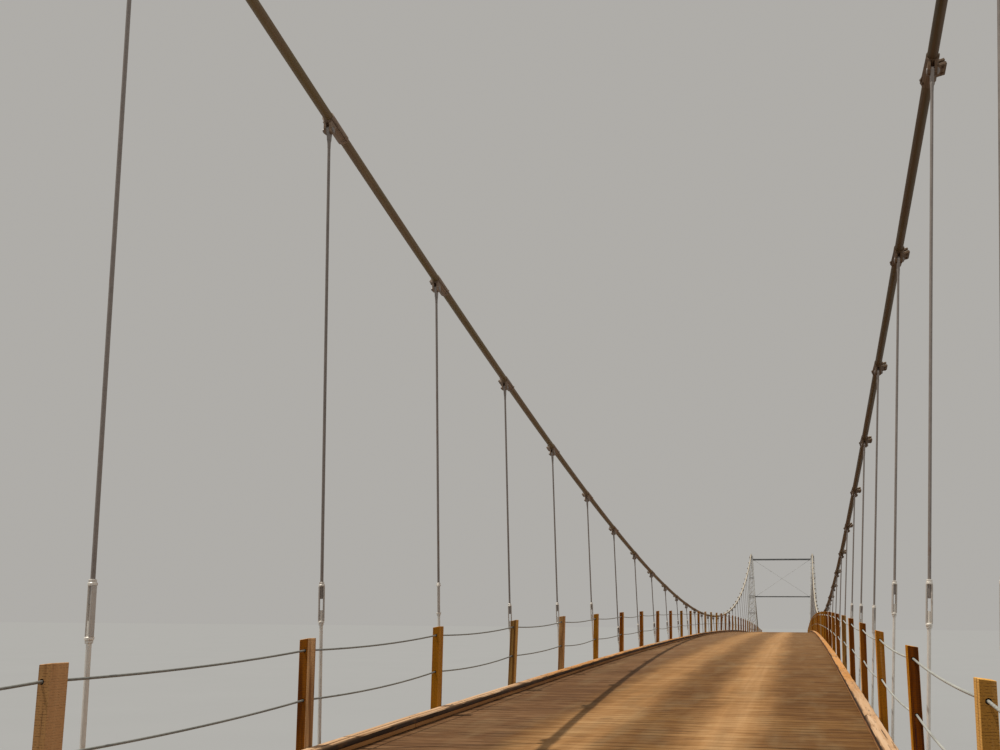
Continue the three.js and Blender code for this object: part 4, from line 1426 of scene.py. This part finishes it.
def anchorage(place, sign, side):
    """A block with a face square to the cable, and a bolted plate and socket where the cable goes in."""
    b = Build()
    front = ANCHOR_Y - BACK_SLOPE * ANCHOR_FACE
    brow = ANCHOR_Y + BACK_SLOPE * ANCHOR_FACE
    back = ANCHOR_Y + ANCHOR_BACK
    top = ANCHOR_Z + ANCHOR_FACE
    block = [(front, 0.0), (back, 0.0), (back, top), (brow, top), (front, ANCHOR_Z - ANCHOR_FACE)]
    eased_profile(b, place + "_anchorage", sign, block, 0.004)
    b.piece(place + "_anchor_block", "concrete", [place + "_anchorage"])
    steel = Build()
    point = cable_point(side, sign * ANCHOR_Y)
    along = unit(cable_point(side, sign * (ANCHOR_Y - 0.05)) - point)
    axes = axes_for(along)
    steel.box(point + along * 0.0025, ANCHOR_PLATE, 0.0006, 0.4, axes)
    steel.lathe(SOCKET, point, along, 18, 0.45)
    for pair in PAIRS:
        steel.nut(point + along * 0.004 + ANCHOR_BOLT * np.array(pair) @ axes[1:], along, 0.0026, 0.0022)
    steel.piece(place + "_anchor_plate", "galvanised")


# Camera, light and floor

def make_camera():
    data = bpy.data.cameras.new("camera")
    camera = add_to_scene("camera", data)
    bpy.context.scene.camera = camera
    data.sensor_width = 36
    data.lens = FOCAL_PIXELS * data.sensor_width / IMAGE_WIDTH
    data.shift_x = -CENTRE_RIGHT / IMAGE_WIDTH
    data.shift_y = CENTRE_DOWN / IMAGE_WIDTH
    data.clip_start = 0.01
    data.clip_end = 400
    matrix = Matrix.Translation(CAMERA_PLACE)
    for angle, axis in ((CAMERA_YAW, "Z"), (math.pi / 2 + CAMERA_PITCH, "X"), (CAMERA_ROLL, "Z")):
        matrix = matrix @ Matrix.Rotation(angle, 4, axis)
    camera.matrix_world = matrix


def make_light():
    sun = bpy.data.lights.new("sun", "SUN")
    sun.energy = SUN_ENERGY
    sun.angle = math.radians(SUN_ANGLE)
    sun.color = SUN_COLOUR
    axes = axes_for(SUN_FROM, (0, 1, 0))
    add_to_scene("sun", sun).matrix_world = Matrix(axes[[1, 2, 0]].T.tolist()).to_4x4()
    world = bpy.data.worlds.new("studio")
    world.use_nodes = True
    background = world.node_tree.nodes["Background"]
    background.inputs["Color"].default_value = SKY_COLOUR
    background.inputs["Strength"].default_value = SKY_STRENGTH
    scene = bpy.context.scene
    scene.world = world
    scene.view_settings.view_transform = "Standard"
    scene.view_settings.exposure = EXPOSURE


def make_floor():
    mesh = bpy.data.meshes.new("floor")
    corners = [(cx * FLOOR_REACH, cy * FLOOR_REACH, FLOOR_Z) for cx, cy in LEG_CORNERS]
    mesh.from_pydata(corners, [], [(0, 1, 2, 3)])
    s = Shader("floor")
    cloud = s.noise(s.place, (0.6, 0.6, 0.6), 3)
    s.colour = cloud.ramp({0.3: (0.346, 0.356, 0.366, 1), 0.7: (0.354, 0.364, 0.374, 1)})
    mesh.materials.append(s.finish(1.0, cloud, 0.001, 0.1, gloss=0.0))
    add_to_scene("floor", mesh)


make_camera()
make_light()
make_floor()

for side_name, sx in SIDES:
    main_cable(side_name, sx)
    hangers_of(side_name, sx)
    side_stands = post_stands(side_name)
    rail_posts(side_name, sx, side_stands)
    wire_ropes(side_name, sx, side_stands)
    kerb(side_name, sx)

for section in range(1, len(SECTION_JOINTS)):
    first, last = [joint * PANEL for joint in SECTION_JOINTS[section - 1:section + 1]]
    deck_planks("planks_%d" % section, "deck_planks_%d" % section, first, last)
    main_framing(section, first, last)

for end_name, ey in ENDS:
    tower_y = ey * HALF_SPAN
    first, last = sorted((tower_y, ey * (DECK_END - 0.0003)))
    deck_planks(end_name + "_planks", end_name + "_approach_planks", first, last)
    approach_framing(end_name, ey)
    portal_struts(end_name, tower_y)
    transom(end_name, tower_y)
    pier(end_name, tower_y)
    abutment(end_name, ey)
    for side_name, sx in SIDES:
        corner_name = end_name + "_" + side_name
        tower_leg(corner_name, tower_y, sx)
        saddle(corner_name, tower_y, sx)
        wing_wall(corner_name, ey)
        anchorage(corner_name, ey, sx)
